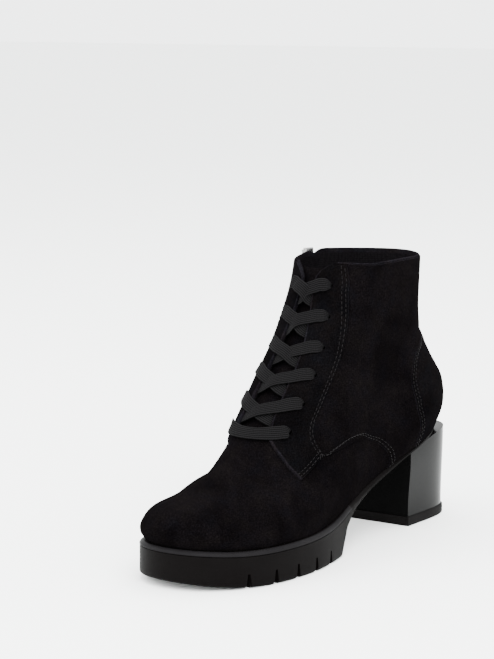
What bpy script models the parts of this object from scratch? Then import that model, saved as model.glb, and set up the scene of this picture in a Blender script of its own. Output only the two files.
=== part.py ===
"""Left lace up ankle boot with a block heel and a lugged platform.

Metres, +Z up. The toe points along +X, the outer side of the foot is +Y and the inner
side, with the zip, is -Y. The floor is z = 0, and the origin is the middle of the heel's
floor face. Tables are in millimetres of the sample size and are graded to the driving
dimensions below.
"""
import math

import bmesh
import bpy
import numpy as np

MM = 0.001

# Driving dimensions
LENGTH = 0.250            # upper, heel curve to toe
BALL_WIDTH = 0.088        # upper at the ball of the foot
INSTEP_HEIGHT = 0.080     # laces' lowest bar above the floor
HEEL_HEIGHT = 0.060       # floor to the feather line at the back
COLLAR_HEIGHT = 0.1655    # floor to the collar at the back
PLATFORM_HEIGHT = 0.0215  # floor to the feather line under the ball
WALL = 0.0020             # suede and lining together
OVERLAY = 0.0010          # suede of a facing or of the counter
QUARTER_STEP = 0.0006     # quarter's edge above the vamp
GAP = 0.0003              # clearance between touching pieces
EYELETS = 6               # on each facing

# Where the heel's floor face lies on the sample last, measured from the heel curve
HEEL_ORIGIN = 19.0

# The sample size that the tables are drawn for
SAMPLE_LENGTH = 0.250
SAMPLE_BALL = 0.088
SAMPLE_INSTEP = 0.080
SAMPLE_HEEL = 0.060
SAMPLE_COLLAR = 0.1655
SAMPLE_PLATFORM = 0.0215

GRADE_X = LENGTH / SAMPLE_LENGTH
GRADE_Y = BALL_WIDTH / SAMPLE_BALL

# Sections of the last, from the feather edge up to the collar. back and front are the
# section's ends along the boot, ridge_y is the front ridge's shift to the inner side,
# and sag is how much of the sole's curve the section follows. The half widths are
# measured at the stations heel, waist, ball and toe, on the outer and the inner side.
# heel_r and toe_r are the radii at the two ends.
# Columns: name, back_x, back_z, front_x, front_z, ridge_y, sag, the four outer half
# widths, the four inner half widths, heel_r, toe_r.
SECTIONS = (
    ("feather", -3.0, 60.0, 237.0, 23.8, -5.0, 1.00, 31.0, 30.0, 43.0, 34.0, 30.0, 27.0, 42.0, 29.0, 28, 30),
    ("wall", -5.5, 66.0, 240.5, 29.0, -5.0, 0.97, 33.0, 32.0, 44.5, 35.5, 31.5, 29.0, 43.5, 29.5, 29, 32),
    ("crown", -8.5, 73.0, 240.5, 34.5, -4.5, 0.90, 34.5, 33.0, 44.5, 34.5, 33.0, 30.0, 43.0, 28.0, 30, 31),
    ("toe_top", -9.0, 80.0, 234.0, 41.2, -4.0, 0.78, 35.0, 33.0, 42.5, 30.0, 33.0, 31.0, 39.0, 24.0, 30, 27),
    ("toe_back", -8.5, 86.0, 218.0, 46.2, -2.5, 0.62, 34.0, 32.5, 38.0, 25.0, 32.0, 31.0, 30.5, 16.0, 29, 21),
    ("vamp_low", -6.5, 92.0, 197.0, 52.6, -1.5, 0.45, 33.0, 32.0, 34.0, 22.0, 31.0, 31.0, 27.0, 15.0, 28, 17),
    ("vamp_mid", -2.5, 98.0, 178.0, 64.0, -1.0, 0.28, 31.0, 31.5, 31.0, 20.5, 30.0, 31.0, 27.5, 16.5, 25, 18),
    ("throat", 3.0, 105.0, 160.5, 80.0, -1.5, 0.14, 28.5, 31.0, 30.0, 20.5, 28.0, 31.0, 29.0, 20.0, 23, 20),
    ("instep", 8.0, 113.0, 142.0, 98.0, -2.0, 0.05, 25.5, 31.0, 30.0, 21.0, 25.5, 31.0, 29.5, 21.5, 21, 22),
    ("ankle", 12.0, 122.0, 124.5, 116.5, -3.0, 0.0, 23.0, 31.0, 31.0, 23.0, 23.0, 32.0, 29.5, 20.5, 19, 22),
    ("shaft_low", 14.0, 134.5, 111.5, 134.8, -4.0, 0.0, 21.5, 32.0, 31.5, 24.0, 21.5, 33.0, 29.5, 20.0, 19, 22),
    ("shaft_mid", 13.5, 149.5, 103.0, 151.8, -5.0, 0.0, 20.5, 33.0, 32.5, 24.5, 21.0, 34.0, 29.0, 19.0, 18, 22),
    ("collar", 11.5, 165.5, 98.0, 168.5, -6.0, 0.0, 19.5, 33.5, 33.0, 25.0, 20.0, 35.0, 29.5, 19.0, 17, 22),
)
STATIONS = (0.0, 0.12, 0.40, 0.70, 0.90, 1.0)

# The feather line, along the boot: x, z
FEATHER_LINE = (
    (-8.0, 61.5), (20.0, 57.5), (50.0, 49.5), (80.0, 38.5), (105.0, 29.0),
    (130.0, 23.5), (155.0, 21.5), (185.0, 21.0), (215.0, 21.5), (241.0, 23.8),
)
# The sole under the waist: x, thickness. The underside of the platform: x, z.
WAIST_SOLE = ((-12.0, 3.0), (48.0, 3.0), (70.0, 4.0), (90.0, 4.6), (105.0, 6.0), (118.0, 11.0))
PLATFORM_FLOOR = ((118.0, 14.0), (126.0, 0.0), (200.0, 0.0), (214.0, 0.8), (228.0, 2.6), (246.0, 6.0))

# Mesh density
AROUND = 36               # columns round the boot
UP = 16                   # rows from the feather edge to the collar
SLIVER = 0.00002          # points closer than this are one
ROUND_STEP = 0.002        # steps round and up the last that slopes are measured over
LEVEL_STEP = 0.01


def hermite(xs, ys, x):
    """Read a smooth curve through the points xs, ys at x."""
    xs = np.asarray(xs, float)
    ys = np.asarray(ys, float)
    steps = np.diff(xs)
    slopes = (np.diff(ys, axis=0).T / steps).T
    share = steps[:-1] / (steps[:-1] + steps[1:])
    tangents = np.empty_like(ys)
    tangents[0] = slopes[0]
    tangents[-1] = slopes[-1]
    tangents[1:-1] = (slopes[:-1].T * (1 - share) + slopes[1:].T * share).T
    i = int(np.clip(np.searchsorted(xs, x, side="right") - 1, 0, len(xs) - 2))
    s = (x - xs[i]) / steps[i]
    return (
        ys[i] * (1 + 2 * s) * (1 - s) ** 2
        + tangents[i] * steps[i] * s * (1 - s) ** 2
        + ys[i + 1] * s * s * (3 - 2 * s)
        + tangents[i + 1] * steps[i] * s * s * (s - 1)
    )


SECTION_ROWS = np.array([row[1:] for row in SECTIONS], float)
SECTION_LEVELS = np.linspace(0.0, 1.0, len(SECTIONS))


def feather_z(x):
    """Height of the feather line above the floor, at x millimetres from the heel curve."""
    xs, zs = np.array(FEATHER_LINE).T
    return float(hermite(xs, zs, np.clip(x, xs[0], xs[-1])))


def graded_z(z):
    """Grade a height of the sample size: platform, heel, instep and collar each move."""
    sample = (0.0, SAMPLE_PLATFORM, SAMPLE_HEEL, SAMPLE_INSTEP, SAMPLE_COLLAR, 2 * SAMPLE_COLLAR)
    made = (0.0, PLATFORM_HEIGHT, HEEL_HEIGHT, INSTEP_HEIGHT, COLLAR_HEIGHT, 2 * COLLAR_HEIGHT)
    return float(np.interp(z, sample, made)) if z > 0 else z


def place(x, y, z):
    """Turn sample millimetres into the boot's own metres."""
    return np.array([(x - HEEL_ORIGIN) * MM * GRADE_X, y * MM * GRADE_Y, graded_z(z * MM)])


def last_point(u, v):
    """Point on the last: u runs round from the heel by the outer side, v runs up."""
    row = hermite(SECTION_LEVELS, SECTION_ROWS, v)
    back_x, back_z, front_x, front_z, ridge_y, sag = row[:6]
    swing = math.sin(2 * math.pi * u)
    t = (1 - math.cos(2 * math.pi * u)) / 2
    widths = row[6:10] if swing >= 0 else row[10:14]
    length = front_x - back_x
    ends = math.sqrt(row[14] * length / 2), math.sqrt(row[15] * length / 2)
    spread = [2 * math.sqrt(s * (1 - s)) for s in STATIONS[1:-1]]
    envelope = [ends[0], *(w / s for w, s in zip(widths, spread)), ends[1]]
    half = hermite(STATIONS, envelope, t)
    feather = SECTION_ROWS[0]
    chord = feather[1] + (feather[3] - feather[1]) * t
    dip = feather_z(feather[0] + t * (feather[2] - feather[0])) - chord
    x = back_x + t * length
    y = ridge_y * t * t + swing * half
    z = back_z + (front_z - back_z) * t + sag * dip
    return place(x, y, z)


def last_normal(u, v):
    """Outward direction of the last at u, v."""
    low, high = max(v - LEVEL_STEP, 0.0), min(v + LEVEL_STEP, 1.0)
    along = last_point(u + ROUND_STEP, v) - last_point(u - ROUND_STEP, v)
    up = last_point(u, high) - last_point(u, low)
    normal = np.cross(up, along)
    return normal / np.linalg.norm(normal)


def surface(u, v, out=0.0):
    """Point that lies out metres outside the last."""
    return last_point(u, v) + last_normal(u, v) * out


RIDGE = 0.5               # u at the front ridge
FINE = 60                 # steps used to measure along a section


def beside_ridge(distance, v):
    """u of the point that lies distance metres from the front ridge, outer side positive."""
    side = 1 if distance >= 0 else -1
    reach = 0.30
    us = [RIDGE - side * reach * k / FINE for k in range(FINE + 1)]
    points = [last_point(u, v) for u in us]
    run = np.concatenate([[0], np.cumsum([np.linalg.norm(b - a) for a, b in zip(points, points[1:])])])
    return float(np.interp(abs(distance), run, us))


# Scene and collections
for old in list(bpy.data.objects):
    bpy.data.objects.remove(old, do_unlink=True)

boot = bpy.data.collections.new("lace_up_ankle_boot")
cutters = bpy.data.collections.new("cutters")
bpy.context.scene.collection.children.link(boot)
bpy.context.scene.collection.children.link(cutters)


def material(name, colour, roughness, metallic=0.0):
    """A plain finish for one sub-part."""
    finish = bpy.data.materials.new(name)
    finish.use_nodes = True
    shader = finish.node_tree.nodes["Principled BSDF"]
    shader.inputs["Base Color"].default_value = (*colour, 1.0)
    shader.inputs["Roughness"].default_value = roughness
    shader.inputs["Metallic"].default_value = metallic
    finish.diffuse_color = (*colour, 1.0)
    return finish


def add_object(name, points, faces, group=boot):
    """Make an object from points and faces, closed and facing out."""
    mesh = bpy.data.meshes.new(name)
    mesh.from_pydata([tuple(p) for p in points], [], faces)
    work = bmesh.new()
    work.from_mesh(mesh)
    bmesh.ops.remove_doubles(work, verts=work.verts, dist=0.00001)
    bmesh.ops.triangulate(work, faces=work.faces)
    bmesh.ops.recalc_face_normals(work, faces=work.faces)
    work.to_mesh(mesh)
    work.free()
    made = bpy.data.objects.new(name, mesh)
    group.objects.link(made)
    if group is cutters:
        made.hide_render = True
        made.display_type = "WIRE"
    return made


def cut(target, cutter, operation="DIFFERENCE"):
    """Cut the target with the cutter, or join it on."""
    boolean = target.modifiers.new(cutter.name, "BOOLEAN")
    boolean.object = cutter
    boolean.operation = operation
    boolean.solver = "EXACT"


def islands(work):
    """The mesh's separate bodies, each a list of faces."""
    left = set(work.faces)
    bodies = []
    while left:
        body = [left.pop()]
        for face in body:
            for edge in face.edges:
                for other in edge.link_faces:
                    if other in left:
                        left.discard(other)
                        body.append(other)
        bodies.append(body)
    return bodies


def settle(made):
    """Apply the object's modifiers and drop the slivers that a cut leaves."""
    graph = bpy.context.evaluated_depsgraph_get()
    mesh = bpy.data.meshes.new_from_object(made.evaluated_get(graph))
    work = bmesh.new()
    work.from_mesh(mesh)
    bmesh.ops.remove_doubles(work, verts=work.verts, dist=SLIVER)
    bmesh.ops.dissolve_degenerate(work, edges=work.edges, dist=SLIVER)
    bodies = sorted(islands(work), key=len)
    crumbs = [face for body in bodies[:-1] for face in body]
    bmesh.ops.delete(work, geom=crumbs, context="FACES")
    work.to_mesh(mesh)
    work.free()
    made.modifiers.clear()
    made.data = mesh
    return made


def smooth(made, finish, angle=35):
    """Give the object its finish and smooth shading."""
    made.data.materials.clear()
    made.data.materials.append(finish)
    made.data.shade_smooth()
    made.data.set_sharp_from_angle(angle=math.radians(angle))


def wall_between(name, outer, inner, closed, group=boot):
    """A wall between two grids of points, joined at its rims."""
    rows, columns = len(outer), len(outer[0])
    points = [p for row in outer for p in row] + [p for row in inner for p in row]
    shift = rows * columns
    last_column = columns if closed else columns - 1
    faces = []
    for i in range(rows - 1):
        for j in range(last_column):
            k = (j + 1) % columns
            a, b, c, d = i * columns + j, i * columns + k, (i + 1) * columns + k, (i + 1) * columns + j
            for corner in ((a, b, c), (a, c, d)):
                faces.append(corner)
                faces.append(tuple(shift + p for p in reversed(corner)))
    for j in range(last_column):
        k = (j + 1) % columns
        top = (rows - 1) * columns
        faces.append((j, shift + j, shift + k, k))
        faces.append((top + k, shift + top + k, shift + top + j, top + j))
    if not closed:
        for i in range(rows - 1):
            for j, turn in ((0, 1), (columns - 1, -1)):
                a, b = i * columns + j, (i + 1) * columns + j
                faces.append((a, b, shift + b, shift + a)[::turn])
    return add_object(name, points, faces, group)


def ladder(ring):
    """Faces that close a ring whose points pair up across the boot."""
    count = len(ring)
    faces = [(ring[0], ring[1], ring[count - 1])]
    for i in range(1, count // 2 - 1):
        faces.append((ring[i], ring[i + 1], ring[count - i - 1], ring[count - i]))
    half = count // 2
    faces.append((ring[half - 1], ring[half], ring[half + 1]))
    return faces


def stack(name, rings, group=boot):
    """A solid through rings of equal count, closed across the boot at both ends."""
    count = len(rings[0])
    points = [p for ring in rings for p in ring]
    faces = []
    for i in range(len(rings) - 1):
        for j in range(count):
            k = (j + 1) % count
            faces.append((i * count + j, i * count + k, (i + 1) * count + k, (i + 1) * count + j))
    faces += ladder(list(range(count)))
    top = (len(rings) - 1) * count
    faces += ladder(list(range(top, top + count)))
    return add_object(name, points, faces, group)


def prism(name, outline, y_from, y_to, group=cutters):
    """A solid of an outline in the side view, given as x and z, running across the boot."""
    count = len(outline)
    points = [(x, y_from, z) for x, z in outline] + [(x, y_to, z) for x, z in outline]
    faces = [tuple(range(count)), tuple(range(2 * count - 1, count - 1, -1))]
    for i in range(count):
        k = (i + 1) % count
        faces.append((i, k, count + k, count + i))
    return add_object(name, points, faces, group)


def shell(name, first, last, v_from, v_to, out, inside, closed=False, group=boot):
    """Part of the upper's own shape, on its own columns and rows, at two distances out.

    Sharing the upper's columns and rows keeps every face parallel to the wall below it.
    """
    us = [k / AROUND for k in range(first, last + 1)]
    between = [v for v in np.linspace(0.0, 1.0, UP) if v_from < v < v_to]
    vs = [v_from, *between, v_to]
    outer = [[surface(u, v, out) for u in us] for v in vs]
    inner = [[surface(u, v, inside) for u in us] for v in vs]
    return wall_between(name, outer, inner, closed, group)


# Finishes
SUEDE = material("suede_black", (0.020, 0.017, 0.018), 0.95)
SUEDE_TRIM = material("suede_trim", (0.024, 0.020, 0.021), 0.95)
LINING = material("textile_lining", (0.030, 0.028, 0.028), 0.90)
SOCK = material("leather_sock", (0.035, 0.030, 0.028), 0.70)
RUBBER = material("moulded_rubber", (0.028, 0.026, 0.027), 0.60)
LACQUER = material("lacquered_heel", (0.012, 0.012, 0.013), 0.12)
TOP_PIECE = material("top_piece_rubber", (0.022, 0.020, 0.020), 0.65)
COTTON = material("woven_lace", (0.050, 0.052, 0.054), 0.85)
ZIP_METAL = material("zip_metal", (0.55, 0.55, 0.56), 0.25, 1.0)
ZIP_TAPE = material("zip_tape_cloth", (0.015, 0.015, 0.016), 0.85)

# Throat and facings. distance is how far the facing's front edge lies from the front
# ridge, measured round the section at that level, the same on both sides. Columns: level,
# distance in millimetres.
FACING_EDGE = (
    (0.36, 66.0), (0.389, 57.0), (0.435, 43.0), (0.481, 30.5), (0.515, 21.0), (0.54, 15.0),
    (0.56, 12.5), (0.60, 10.5), (0.65, 9.5), (0.71, 9.0), (0.77, 7.8), (0.83, 5.8),
    (0.88, 4.6), (0.93, 4.0), (0.955, 4.6), (0.975, 7.0), (0.99, 11.0), (1.0, 15.5), (1.05, 22.0),
)
THROAT_FLOOR = 0.57       # level of the throat's lower end
THROAT_SETBACK = 1.2      # lining's edge behind the facing's edge, in millimetres
SEAM_GAP = 0.5            # clearance between a panel's edge and the next panel, in millimetres
RIM = 0.006               # overlays end this share of the height inside the upper's rims
FACING_SHARE = 0.23       # how far round the boot a facing's blank reaches from the ridge
FACING_FOOT = 0.34        # level of its blank's lower end
COUNTER_SHARE = 0.23
COUNTER_TOP = 0.80

# Eyelets: their level, and how far they lie from the front ridge in millimetres
EYELET_ROWS = (
    (0.556, 24.7), (0.625, 23.6), (0.694, 21.8), (0.760, 19.6), (0.838, 16.8), (0.925, 14.2),
)
EYELET_RADIUS = 1.7
EYELET_SIDES = 8
PUNCH_IN = 2.35           # a punch goes this far inside the last, through the wall alone
PUNCH_OUT = 3.0

# Outlines in the side view, in sample millimetres: x from the heel curve, z above the floor
FACING_REAR = (
    (88.0, 180.0), (92.2, 165.0), (93.4, 157.0), (96.0, 148.0), (100.4, 135.0), (106.5, 121.5),
    (112.0, 111.5), (119.0, 101.0), (128.5, 88.5), (135.8, 79.5), (138.6, 72.0), (137.5, 63.0),
    (138.5, 61.0),
)
FACING_POINT = ((159.5, 51.0), (164.0, 52.0), (185.0, 86.5), (150.0, 190.0))
VAMP_SEAM = (
    (138.5, 61.0), (131.0, 63.0), (118.0, 66.5), (108.0, 67.5), (99.0, 66.0), (86.5, 61.0),
    (76.5, 54.0), (70.5, 46.0), (67.0, 36.5), (66.0, 28.5),
)
COUNTER_FRONT = (
    (44.5, 45.5), (45.4, 60.5), (47.4, 69.5), (48.6, 78.5), (50.4, 89.0), (49.6, 96.0),
    (45.5, 104.5), (38.0, 111.5), (26.0, 117.5), (0.0, 121.0), (-20.0, 122.0),
)
QUARTER_BACK = ((-30.0, 150.0), (-30.0, 190.0))
COUNTER_FOOT = ((-30.0, 40.0), (40.0, 40.0))
FAR_SIDE = 0.09           # cutters that cross the boot end this far from its middle
OVER_MIDDLE = 0.012       # a facing's blank reaches this far past the middle
CUT_OUT = 6.0             # throat and zip cutters reach this far outside the last, in millimetres
CUT_IN = 5.0              # and this far inside it
ABOVE_COLLAR = 1.05       # level where they end, above the collar
THROAT_CUT_ROWS = 14
FACING_CUT_ROWS = 21
FACING_CUT_FOOT = 0.30


def side_outline(rows):
    """Turn side view rows of the sample size into x and z in metres."""
    placed = [place(x, 0.0, z) for x, z in rows]
    return [(p[0], p[2]) for p in placed]


def shifted(rows, step):
    """The same side view rows, moved step millimetres along the boot."""
    return tuple((x + step, z) for x, z in rows)


def edge_distance(v):
    """Metres from the front ridge to the facing's front edge at level v."""
    levels, distances = np.array(FACING_EDGE).T
    return float(np.interp(v, levels, distances)) * MM * GRADE_Y


def risen(u, v, out):
    """Point of the upper's shape, carried straight on above the collar."""
    if v <= 1.0:
        return surface(u, v, out)
    top = surface(u, 1.0, out)
    lean = (top - surface(u, 1.0 - LEVEL_STEP, out)) / LEVEL_STEP
    return top + lean * (v - 1.0)


def ridge_cutter(name, v_from, rows, setback=0.0, columns=7):
    """A wedge over the front ridge, between the front edges of the two facings."""
    outer, inner = [], []
    for v in np.linspace(v_from, ABOVE_COLLAR, rows):
        reach = edge_distance(v) + setback * MM
        us = [beside_ridge(d, min(v, 1.0)) for d in np.linspace(reach, -reach, columns)]
        outer.append([risen(u, v, CUT_OUT * MM) for u in us])
        inner.append([risen(u, v, -CUT_IN * MM) for u in us])
    return wall_between(name, outer, inner, False, cutters)


def build_upper():
    """One hollow wall, open at the collar, the throat and underneath."""
    whole = (0, AROUND - 1)
    upper = shell("upper", *whole, 0.0, 1.0, 0.0, -WALL, closed=True)

    # The quarters stand above the vamp, from the facing back to the counter
    quarters = shell("quarters", *whole, RIM, 1 - RIM, QUARTER_STEP, -WALL / 2, True, cutters)
    outline = (
        side_outline(shifted(FACING_REAR[:-1], -SEAM_GAP))
        + side_outline(VAMP_SEAM)
        + side_outline(shifted(COUNTER_FRONT, SEAM_GAP))
        + side_outline(QUARTER_BACK)
    )
    cut(quarters, prism("quarter_outline", outline, -FAR_SIDE, FAR_SIDE), "INTERSECT")
    cut(quarters, zip_strip("zip_slot", ZIP_SLOT_HALF, -CUT_IN, CUT_OUT, cutters))
    settle(quarters)
    cut(upper, quarters, "UNION")

    cut(upper, ridge_cutter("throat_opening", THROAT_FLOOR, THROAT_CUT_ROWS, THROAT_SETBACK))
    cut(upper, eyelet_punches("eyelet_holes_upper"))
    settle(upper)
    smooth(upper, SUEDE)
    return upper


def eyelet_punches(name):
    """Twelve round punches, square to the facings."""
    sides = EYELET_SIDES
    points, faces = [], []
    for level, distance in EYELET_ROWS:
        for side in (1, -1):
            u = beside_ridge(side * distance * MM * GRADE_Y, level)
            centre, normal = last_point(u, level), last_normal(u, level)
            across = np.cross(normal, (0.0, 0.0, 1.0))
            across /= np.linalg.norm(across)
            along = np.cross(normal, across)
            first = len(points)
            for depth in (-PUNCH_IN * MM, PUNCH_OUT * MM):
                for k in range(sides):
                    angle = 2 * math.pi * k / sides
                    spoke = across * math.cos(angle) + along * math.sin(angle)
                    points.append(centre + normal * depth + spoke * EYELET_RADIUS * MM)
            faces.append(tuple(range(first, first + sides)))
            faces.append(tuple(range(first + 2 * sides - 1, first + sides - 1, -1)))
            for k in range(sides):
                n = (k + 1) % sides
                faces.append((first + k, first + n, first + sides + n, first + sides + k))
    return add_object(name, points, faces, cutters)


def build_facing(name, side):
    """A suede facing from the collar to its point on the vamp."""
    half = AROUND // 2
    reach = round(AROUND * FACING_SHARE)
    first, last = (half - reach, half) if side > 0 else (half, half + reach)
    facing = shell(name, first, last, FACING_FOOT, 1 - RIM, GAP + OVERLAY, GAP)
    outline = side_outline(FACING_REAR) + side_outline(FACING_POINT)
    y_from, y_to = sorted((-side * OVER_MIDDLE, side * FAR_SIDE))
    cut(facing, prism(name + "_outline", outline, y_from, y_to), "INTERSECT")
    cut(facing, ridge_cutter(name + "_front", FACING_CUT_FOOT, FACING_CUT_ROWS))
    cut(facing, eyelet_punches("eyelet_holes_" + name))
    settle(facing)
    smooth(facing, SUEDE_TRIM)
    return facing


def build_counter():
    """The suede backstay panel that wraps the heel."""
    reach = round(AROUND * COUNTER_SHARE)
    counter = shell("counter", -reach, reach, RIM, COUNTER_TOP, GAP + OVERLAY, GAP)
    outline = side_outline(COUNTER_FRONT) + side_outline(COUNTER_FOOT)
    cut(counter, prism("counter_outline", outline, -FAR_SIDE, FAR_SIDE), "INTERSECT")
    settle(counter)
    smooth(counter, SUEDE_TRIM)
    return counter


# Tongue: level, half width round the section in millimetres
TONGUE_ROWS = ((0.53, 16.0), (0.60, 20.0), (0.80, 22.0), (0.96, 21.0), (0.985, 17.0))
TONGUE_OUT = -2.5         # millimetres from the last to the tongue's outer face
TONGUE_THICKNESS = 2.2
TONGUE_MESH = (13, 8)     # rows and columns


def build_tongue():
    """One padded sheet under the laces."""
    levels, widths = np.array(TONGUE_ROWS).T
    outer, inner = [], []
    for v in np.linspace(levels[0], levels[-1], TONGUE_MESH[0]):
        reach = float(np.interp(v, levels, widths)) * MM * GRADE_Y
        us = [beside_ridge(d, v) for d in np.linspace(reach, -reach, TONGUE_MESH[1])]
        outer.append([surface(u, v, TONGUE_OUT * MM) for u in us])
        inner.append([surface(u, v, (TONGUE_OUT - TONGUE_THICKNESS) * MM) for u in us])
    tongue = wall_between("tongue", outer, inner, False)
    smooth(tongue, LINING)
    return tongue


# Stations along the sole, dense where its side bends
SOLE_STATIONS = (
    0.0, 1.6, 6.5, 15.0, 27.0, 41.0, 57.0, 75.0, 92.0, 106.0, 117.0, 121.0, 129.0, 140.0, 154.0,
    168.0, 182.0, 195.0, 207.0, 217.0, 225.5, 231.5, 236.0, 239.0, 240.0,
)
SEAT_LIP = ((-12.0, 1.0), (60.0, 1.0), (104.0, 1.6), (121.0, 2.8), (140.0, 3.2), (260.0, 3.2))
LIP_BEVEL = 1.8           # width of the light bevel round the platform's top edge
LIP_DEPTH = 2.4
FLOOR_CHAMFER = 1.2
SOCK_THICKNESS = 3.0
SOCK_CLEARANCE = 0.8      # between the sock's edge and the lining
SOCK_ROUNDING = 0.9


def sole_loop(offset_of, z_of):
    """A ring round the feather line, moved outwards and set to a height, by its x."""
    length = SECTIONS[0][3] - SECTIONS[0][1]
    shares = [s / SOLE_STATIONS[-1] for s in SOLE_STATIONS]
    outer_us = [math.acos(1 - 2 * s) / (2 * math.pi) for s in shares]
    us = outer_us + [1 - u for u in outer_us[-2:0:-1]]
    ring = []
    for u in us:
        point = last_point(u, 0.0)
        tangent = last_point(u + ROUND_STEP, 0.0) - last_point(u - ROUND_STEP, 0.0)
        out = np.array([tangent[1], -tangent[0], 0.0])
        out /= -np.linalg.norm(out)
        x = point[0] / (MM * GRADE_X) + HEEL_ORIGIN
        moved = point + out * offset_of(x) * MM
        sample_x = moved[0] / (MM * GRADE_X) + HEEL_ORIGIN
        ring.append(np.array([moved[0], moved[1], graded_z(z_of(sample_x) * MM)]))
    return ring


def lip(x):
    """How far the sole's side stands outside the feather line."""
    xs, widths = np.array(SEAT_LIP).T
    return float(np.interp(x, xs, widths))


def sole_top(x):
    """Upper face of the sole, just under the feather line."""
    return feather_z(x) - GAP / MM


def sole_bottom(x):
    """Lower face of the sole: thin at the waist, flat under the platform, sprung at the toe."""
    if x < PLATFORM_FLOOR[0][0]:
        xs, thickness = np.array(WAIST_SOLE).T
        return sole_top(x) - float(np.interp(x, xs, thickness))
    xs, zs = np.array(PLATFORM_FLOOR).T
    return float(np.interp(x, xs, zs))


def thickness_at(x):
    """Sole thickness at x."""
    return sole_top(x) - sole_bottom(x)


LUG_SLOTS = 5
FIRST_SLOT = 143.0        # the rearmost slot, from the heel curve
SLOT_PITCH = 17.0
SLOT_HEIGHT = 8.0
SLOT_FOOT = 1.5           # half the slot's width at the floor
SLOT_HEAD = 0.5           # half its width at the top
SLOT_REACH = (22.0, 60.0)
SLOT_BELOW = -2.0         # the cutters start this far under the floor
CHANNEL_DEPTH = 1.6
CHANNEL_HALF = 1.3
CHANNEL_REACH = 18.0
LIP_LEAN = 0.2            # the side leans in by this under the lip


def taper(x, half_foot, half_head, top):
    """Side view of a slot: from under the floor up to its narrower head."""
    return side_outline((
        (x - half_foot, SLOT_BELOW), (x + half_foot, SLOT_BELOW), (x + half_head, top), (x - half_head, top),
    ))


def lip_foot(x):
    """Height of the light lip's lower edge."""
    return sole_top(x) - min(LIP_DEPTH, 0.4 * thickness_at(x))


def build_outsole():
    """Platform, thin waist and heel seat in one moulding, with slots between the lugs."""
    rings = [
        sole_loop(lambda x: lip(x) - FLOOR_CHAMFER, sole_bottom),
        sole_loop(lip, lambda x: sole_bottom(x) + min(FLOOR_CHAMFER, 0.25 * thickness_at(x))),
        sole_loop(lambda x: lip(x) - LIP_LEAN, lip_foot),
        sole_loop(lambda x: max(lip(x) - LIP_BEVEL, LIP_LEAN), sole_top),
    ]
    outsole = stack("outsole", rings)
    for number in range(1, LUG_SLOTS + 1):
        x = FIRST_SLOT + (number - 1) * SLOT_PITCH
        slot = taper(x, SLOT_FOOT, SLOT_HEAD, SLOT_HEIGHT)
        for side, name in ((1, "outer"), (-1, "inner")):
            near, far = sorted(side * reach * MM for reach in SLOT_REACH)
            cut(outsole, prism(f"slot_{name}_{number}", slot, near, far))
        channel = taper(x, CHANNEL_HALF, CHANNEL_HALF, CHANNEL_DEPTH)
        cut(outsole, prism(f"channel_{number}", channel, -CHANNEL_REACH * MM, CHANNEL_REACH * MM))
    settle(outsole)
    smooth(outsole, RUBBER)
    return outsole


def build_insole():
    """The padded sock on the sole, inside the upper's wall."""
    inset = WALL / MM + SOCK_CLEARANCE
    rings = [
        sole_loop(lambda x: -inset, feather_z),
        sole_loop(lambda x: -inset, lambda x: feather_z(x) + SOCK_THICKNESS - SOCK_ROUNDING),
        sole_loop(lambda x: -inset - SOCK_ROUNDING, lambda x: feather_z(x) + SOCK_THICKNESS),
    ]
    insole = stack("insole", rings)
    smooth(insole, SOCK)
    return insole


# Block heel, in sample millimetres
HEEL_BREAST = 45.0        # breast line under the middle of the heel
HEEL_BACK = -8.5
HEEL_HALF_WIDTH = 28.0
HEEL_SKEW = 0.09          # the breast runs a little forward on the inner side
HEEL_SQUARENESS = 4.5
SEAT_BREAST = 48.5
SEAT_BACK = -5.5
SEAT_HALF_WIDTH = 31.5
TOP_PIECE_HEIGHT = 5.7
TOP_PIECE_LEDGE = 0.9     # the top piece stands out round the block
HEEL_COLUMNS = 12
HEEL_SHARES = (0.0, 0.3, 0.65, 0.9, 1.0)
TIP_CHAMFER = 0.5


def heel_ring(breast, back, half_width, z_of, grow=0.0):
    """A D shaped ring: flat breast in front, rounded back."""
    length = breast - back
    outer = []
    for k in range(HEEL_COLUMNS + 1):
        turn = math.pi / 2 * k / HEEL_COLUMNS
        x = breast - length * math.sin(turn) ** (2 / HEEL_SQUARENESS)
        y = half_width * math.cos(turn) ** (2 / HEEL_SQUARENESS)
        outer.append((x, y))
    loop = [(x, y) for x, y in reversed(outer)] + [(x, -y) for x, y in outer[:-1]]
    ring = []
    for x, y in loop:
        slant = HEEL_SKEW * y * (x - back) / length
        scale = 1 + grow / half_width
        middle = (breast + back) / 2
        px = middle + (x - middle) * scale - slant
        ring.append(place(px, y * scale, z_of(px)))
    return ring


def heel_solid(name, rings):
    """A solid through heel rings, whose points pair up across the boot."""
    count = len(rings[0])
    points = [p for ring in rings for p in ring]
    faces = []
    for i in range(len(rings) - 1):
        for j in range(count):
            k = (j + 1) % count
            faces.append((i * count + j, i * count + k, (i + 1) * count + k, (i + 1) * count + j))
    for first in (0, (len(rings) - 1) * count):
        faces.append((first, first + 1, first + count - 1))
        for i in range(1, count // 2):
            faces.append((first + i, first + i + 1, first + count - i - 1, first + count - i))
    return add_object(name, points, faces)


def build_heel():
    """The lacquered block, its top cut to the seat's slope."""
    rings = []
    for share in HEEL_SHARES:
        ease = share * share * (3 - 2 * share)
        breast = HEEL_BREAST + (SEAT_BREAST - HEEL_BREAST) * share
        back = HEEL_BACK + (SEAT_BACK - HEEL_BACK) * ease
        half = HEEL_HALF_WIDTH + (SEAT_HALF_WIDTH - HEEL_HALF_WIDTH) * ease
        low = TOP_PIECE_HEIGHT + GAP / MM

        def height(x, share=share, low=low):
            seat = sole_bottom(x) - GAP / MM
            return low + (seat - low) * share

        rings.append(heel_ring(breast, back, half, height))
    heel = heel_solid("heel", rings)
    smooth(heel, LACQUER, 50)
    return heel


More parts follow.
